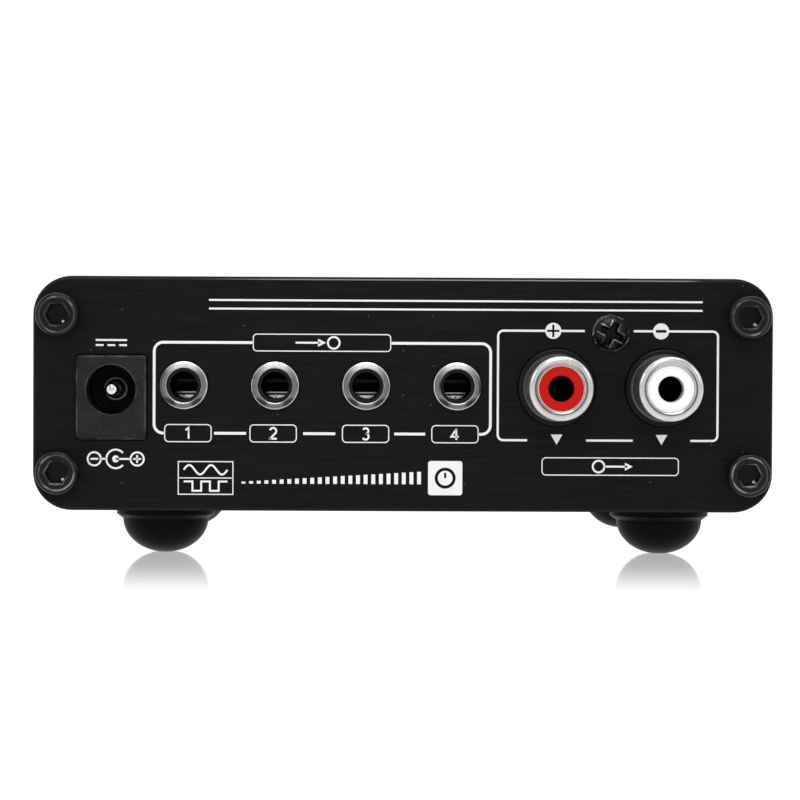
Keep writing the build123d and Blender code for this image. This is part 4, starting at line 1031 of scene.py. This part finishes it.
def make_floor(settings):
    """A pale floor that glows like a lit white sheet, glossy only in front of the rear feet."""
    patch_end, fade_start, round_end = 86.0 * MM, 18.0 * MM, 56.0 * MM
    tip_half, swell, blur = 0.9 * MM, 4.1 * MM, 0.3 * MM
    lean_to = Vector((6.0 * MM, REAR_FACE_Y + 400.0 * MM))
    n = new_finish("pale_floor")
    x, y, _ = n.axes()
    gloss = 0.0
    for foot in (middle("foot_rear_left"), middle("foot_rear_right")):
        way = (lean_to - foot.xy).normalized()
        ahead = (x - foot.x) * way.x + (y - foot.y) * way.y
        aside = abs((x - foot.x) * way.y - (y - foot.y) * way.x)
        length = n.maths("MINIMUM", n.maths("MAXIMUM", ahead / round_end, 0), 1)
        half_width = tip_half + swell * (length * (2 - length)) ** 0.5
        dome = n.step(aside - half_width, blur, -blur) * (ahead > 0)
        gloss = n.maths("MAXIMUM", gloss, dome * n.step(ahead, patch_end, fade_start))
    sheet = n.add("BsdfPrincipled", sockets={
        "Base Color": (0.12, 0.12, 0.12),
        "Specular IOR Level": 0.0,
        "Roughness": 1.0,
        "Coat Weight": settings.floor_gloss * gloss,
        "Coat Roughness": 0.04,
        "Coat IOR": 1.2,
        "Emission Color": paper(n, settings),
        "Emission Strength": 1.0,
    })
    shape = bmesh.new()
    bmesh.ops.create_grid(shape, x_segments=8, y_segments=8, size=STAGE_RADIUS)
    stand("floor", shape, n.shown(sheet))


def make_backdrop(settings):
    """A pale wall round the floor, which only the camera sees."""
    n = new_finish("pale_backdrop")
    sheet = n.add("Emission", sockets={"Color": paper(n, settings)})
    shape = bmesh.new()
    rise = Matrix.Translation((0.0, 0.0, STAGE_RADIUS / 2))
    size = {"radius1": STAGE_RADIUS, "radius2": STAGE_RADIUS, "depth": STAGE_RADIUS}
    bmesh.ops.create_cone(shape, segments=64, matrix=rise, **size)
    wall = stand("backdrop", shape, n.shown(sheet))
    wall.visible_diffuse = wall.visible_glossy = wall.visible_shadow = False


def paper(n, settings):
    """The colour of a lit white sheet, all but even."""
    return n.shades(n.noise(120, 3), settings.floor_colour, 1.0, 0.997)


def stand(name, shape, material):
    """Turn a finished bmesh into a piece of the stage."""
    piece = new_object(name, shape, material)
    return piece


def make_light(context, settings):
    """A white room that is darker behind the camera, and four soft lamps."""
    world = bpy.data.worlds.new("white_room")
    n = Nodes(world)
    _, y, _ = n.axes(n.share)
    tone = n.tint(n.step(y, 0.0, 0.95), (1.06, 1.06, 1.06), (0.5, 0.5, 0.51))
    sky = n.add("Background", sockets={"Color": tone})
    n.add("OutputWorld", sockets={"Surface": sky})
    context.scene.world = world
    context.scene.view_settings.view_transform = "Standard"
    lamps = (
        ("overhead_light", (0.0, 0.16, 0.6), (0.5, 0.35), settings.key_power),
        ("left_light", (0.66, 0.66, 0.35), (0.3, 0.3), settings.side_power),
        ("right_light", (-0.66, 0.66, 0.35), (0.3, 0.3), settings.side_power),
        ("front_light", (0.0, 0.46, 0.21), (0.12, 0.12), settings.front_power),
    )
    for name, place, size, power in lamps:
        data = bpy.data.lights.new(name, "AREA")
        data.shape = "RECTANGLE"
        data.size, data.size_y = size
        data.energy = power
        aim(context, data, place, (0.0, 0.0, PANEL_MIDDLE_Z))


def make_camera(context, settings):
    """A camera that looks at the rear panel."""
    data = bpy.data.cameras.new("rear_camera")
    data.sensor_fit = "HORIZONTAL"
    data.lens = settings.lens
    data.clip_start = 0.01
    camera = aim(context, data, settings.camera_place, settings.camera_aim)
    camera.rotation_quaternion @= Quaternion((0.0, 0.0, 1.0), settings.camera_roll)
    context.scene.camera = camera


def aim(context, data, place, target):
    """Stand a lamp or a camera at a place and turn it to a target."""
    thing = bpy.data.objects.new(data.name, data)
    thing.location = place
    thing.rotation_mode = "QUATERNION"
    thing.rotation_quaternion = (Vector(target) - thing.location).to_track_quat("-Z", "Y")
    context.scene.collection.objects.link(thing)
    return thing


class SWITCHBOX_OT_stage(bpy.types.Operator):
    """Set up the floor, the light and the camera"""

    bl_idname = "switchbox.stage"
    bl_label = "Stage"

    def execute(self, context):
        settings = context.scene.switch_box_stage
        make_floor(settings)
        make_backdrop(settings)
        make_light(context, settings)
        make_camera(context, settings)
        return {"FINISHED"}


OPERATORS = (
    SWITCHBOX_OT_case_finish,
    SWITCHBOX_OT_screw_finish,
    SWITCHBOX_OT_foot_finish,
    SWITCHBOX_OT_socket_finish,
    SWITCHBOX_OT_control_finish,
    SWITCHBOX_OT_board_finish,
    SWITCHBOX_OT_input_print,
    SWITCHBOX_OT_output_print,
    SWITCHBOX_OT_rear_marks,
    SWITCHBOX_OT_front_print,
    SWITCHBOX_OT_knob_lines,
    SWITCHBOX_OT_stage,
)


class SWITCHBOX_PT_panel(bpy.types.Panel):
    """Lists the steps that dress the switch box"""

    bl_idname = "SWITCHBOX_PT_panel"
    bl_label = "Switch Box"
    bl_space_type = "VIEW_3D"
    bl_region_type = "UI"
    bl_category = "Switch Box"

    def draw(self, context):
        for operator in OPERATORS:
            self.layout.operator(operator.bl_idname)


SETTINGS = {
    "switch_box_print": SwitchBoxPrint,
    "switch_box_finish": SwitchBoxFinish,
    "switch_box_stage": SwitchBoxStage,
}
CLASSES = (*SETTINGS.values(), *OPERATORS, SWITCHBOX_PT_panel)


def register():
    for kind in CLASSES:
        bpy.utils.register_class(kind)
    for name, kind in SETTINGS.items():
        setattr(bpy.types.Scene, name, PointerProperty(type=kind))


def unregister():
    for name in SETTINGS:
        delattr(bpy.types.Scene, name)
    for kind in reversed(CLASSES):
        bpy.utils.unregister_class(kind)


def main():
    register()
    bpy.ops.switchbox.case_finish()
    bpy.ops.switchbox.screw_finish()
    bpy.ops.switchbox.foot_finish()
    bpy.ops.switchbox.socket_finish()
    bpy.ops.switchbox.control_finish()
    bpy.ops.switchbox.board_finish()
    bpy.ops.switchbox.input_print()
    bpy.ops.switchbox.output_print()
    bpy.ops.switchbox.rear_marks()
    bpy.ops.switchbox.front_print()
    bpy.ops.switchbox.knob_lines()
    bpy.ops.switchbox.stage()


if __name__ == "__main__":
    main()
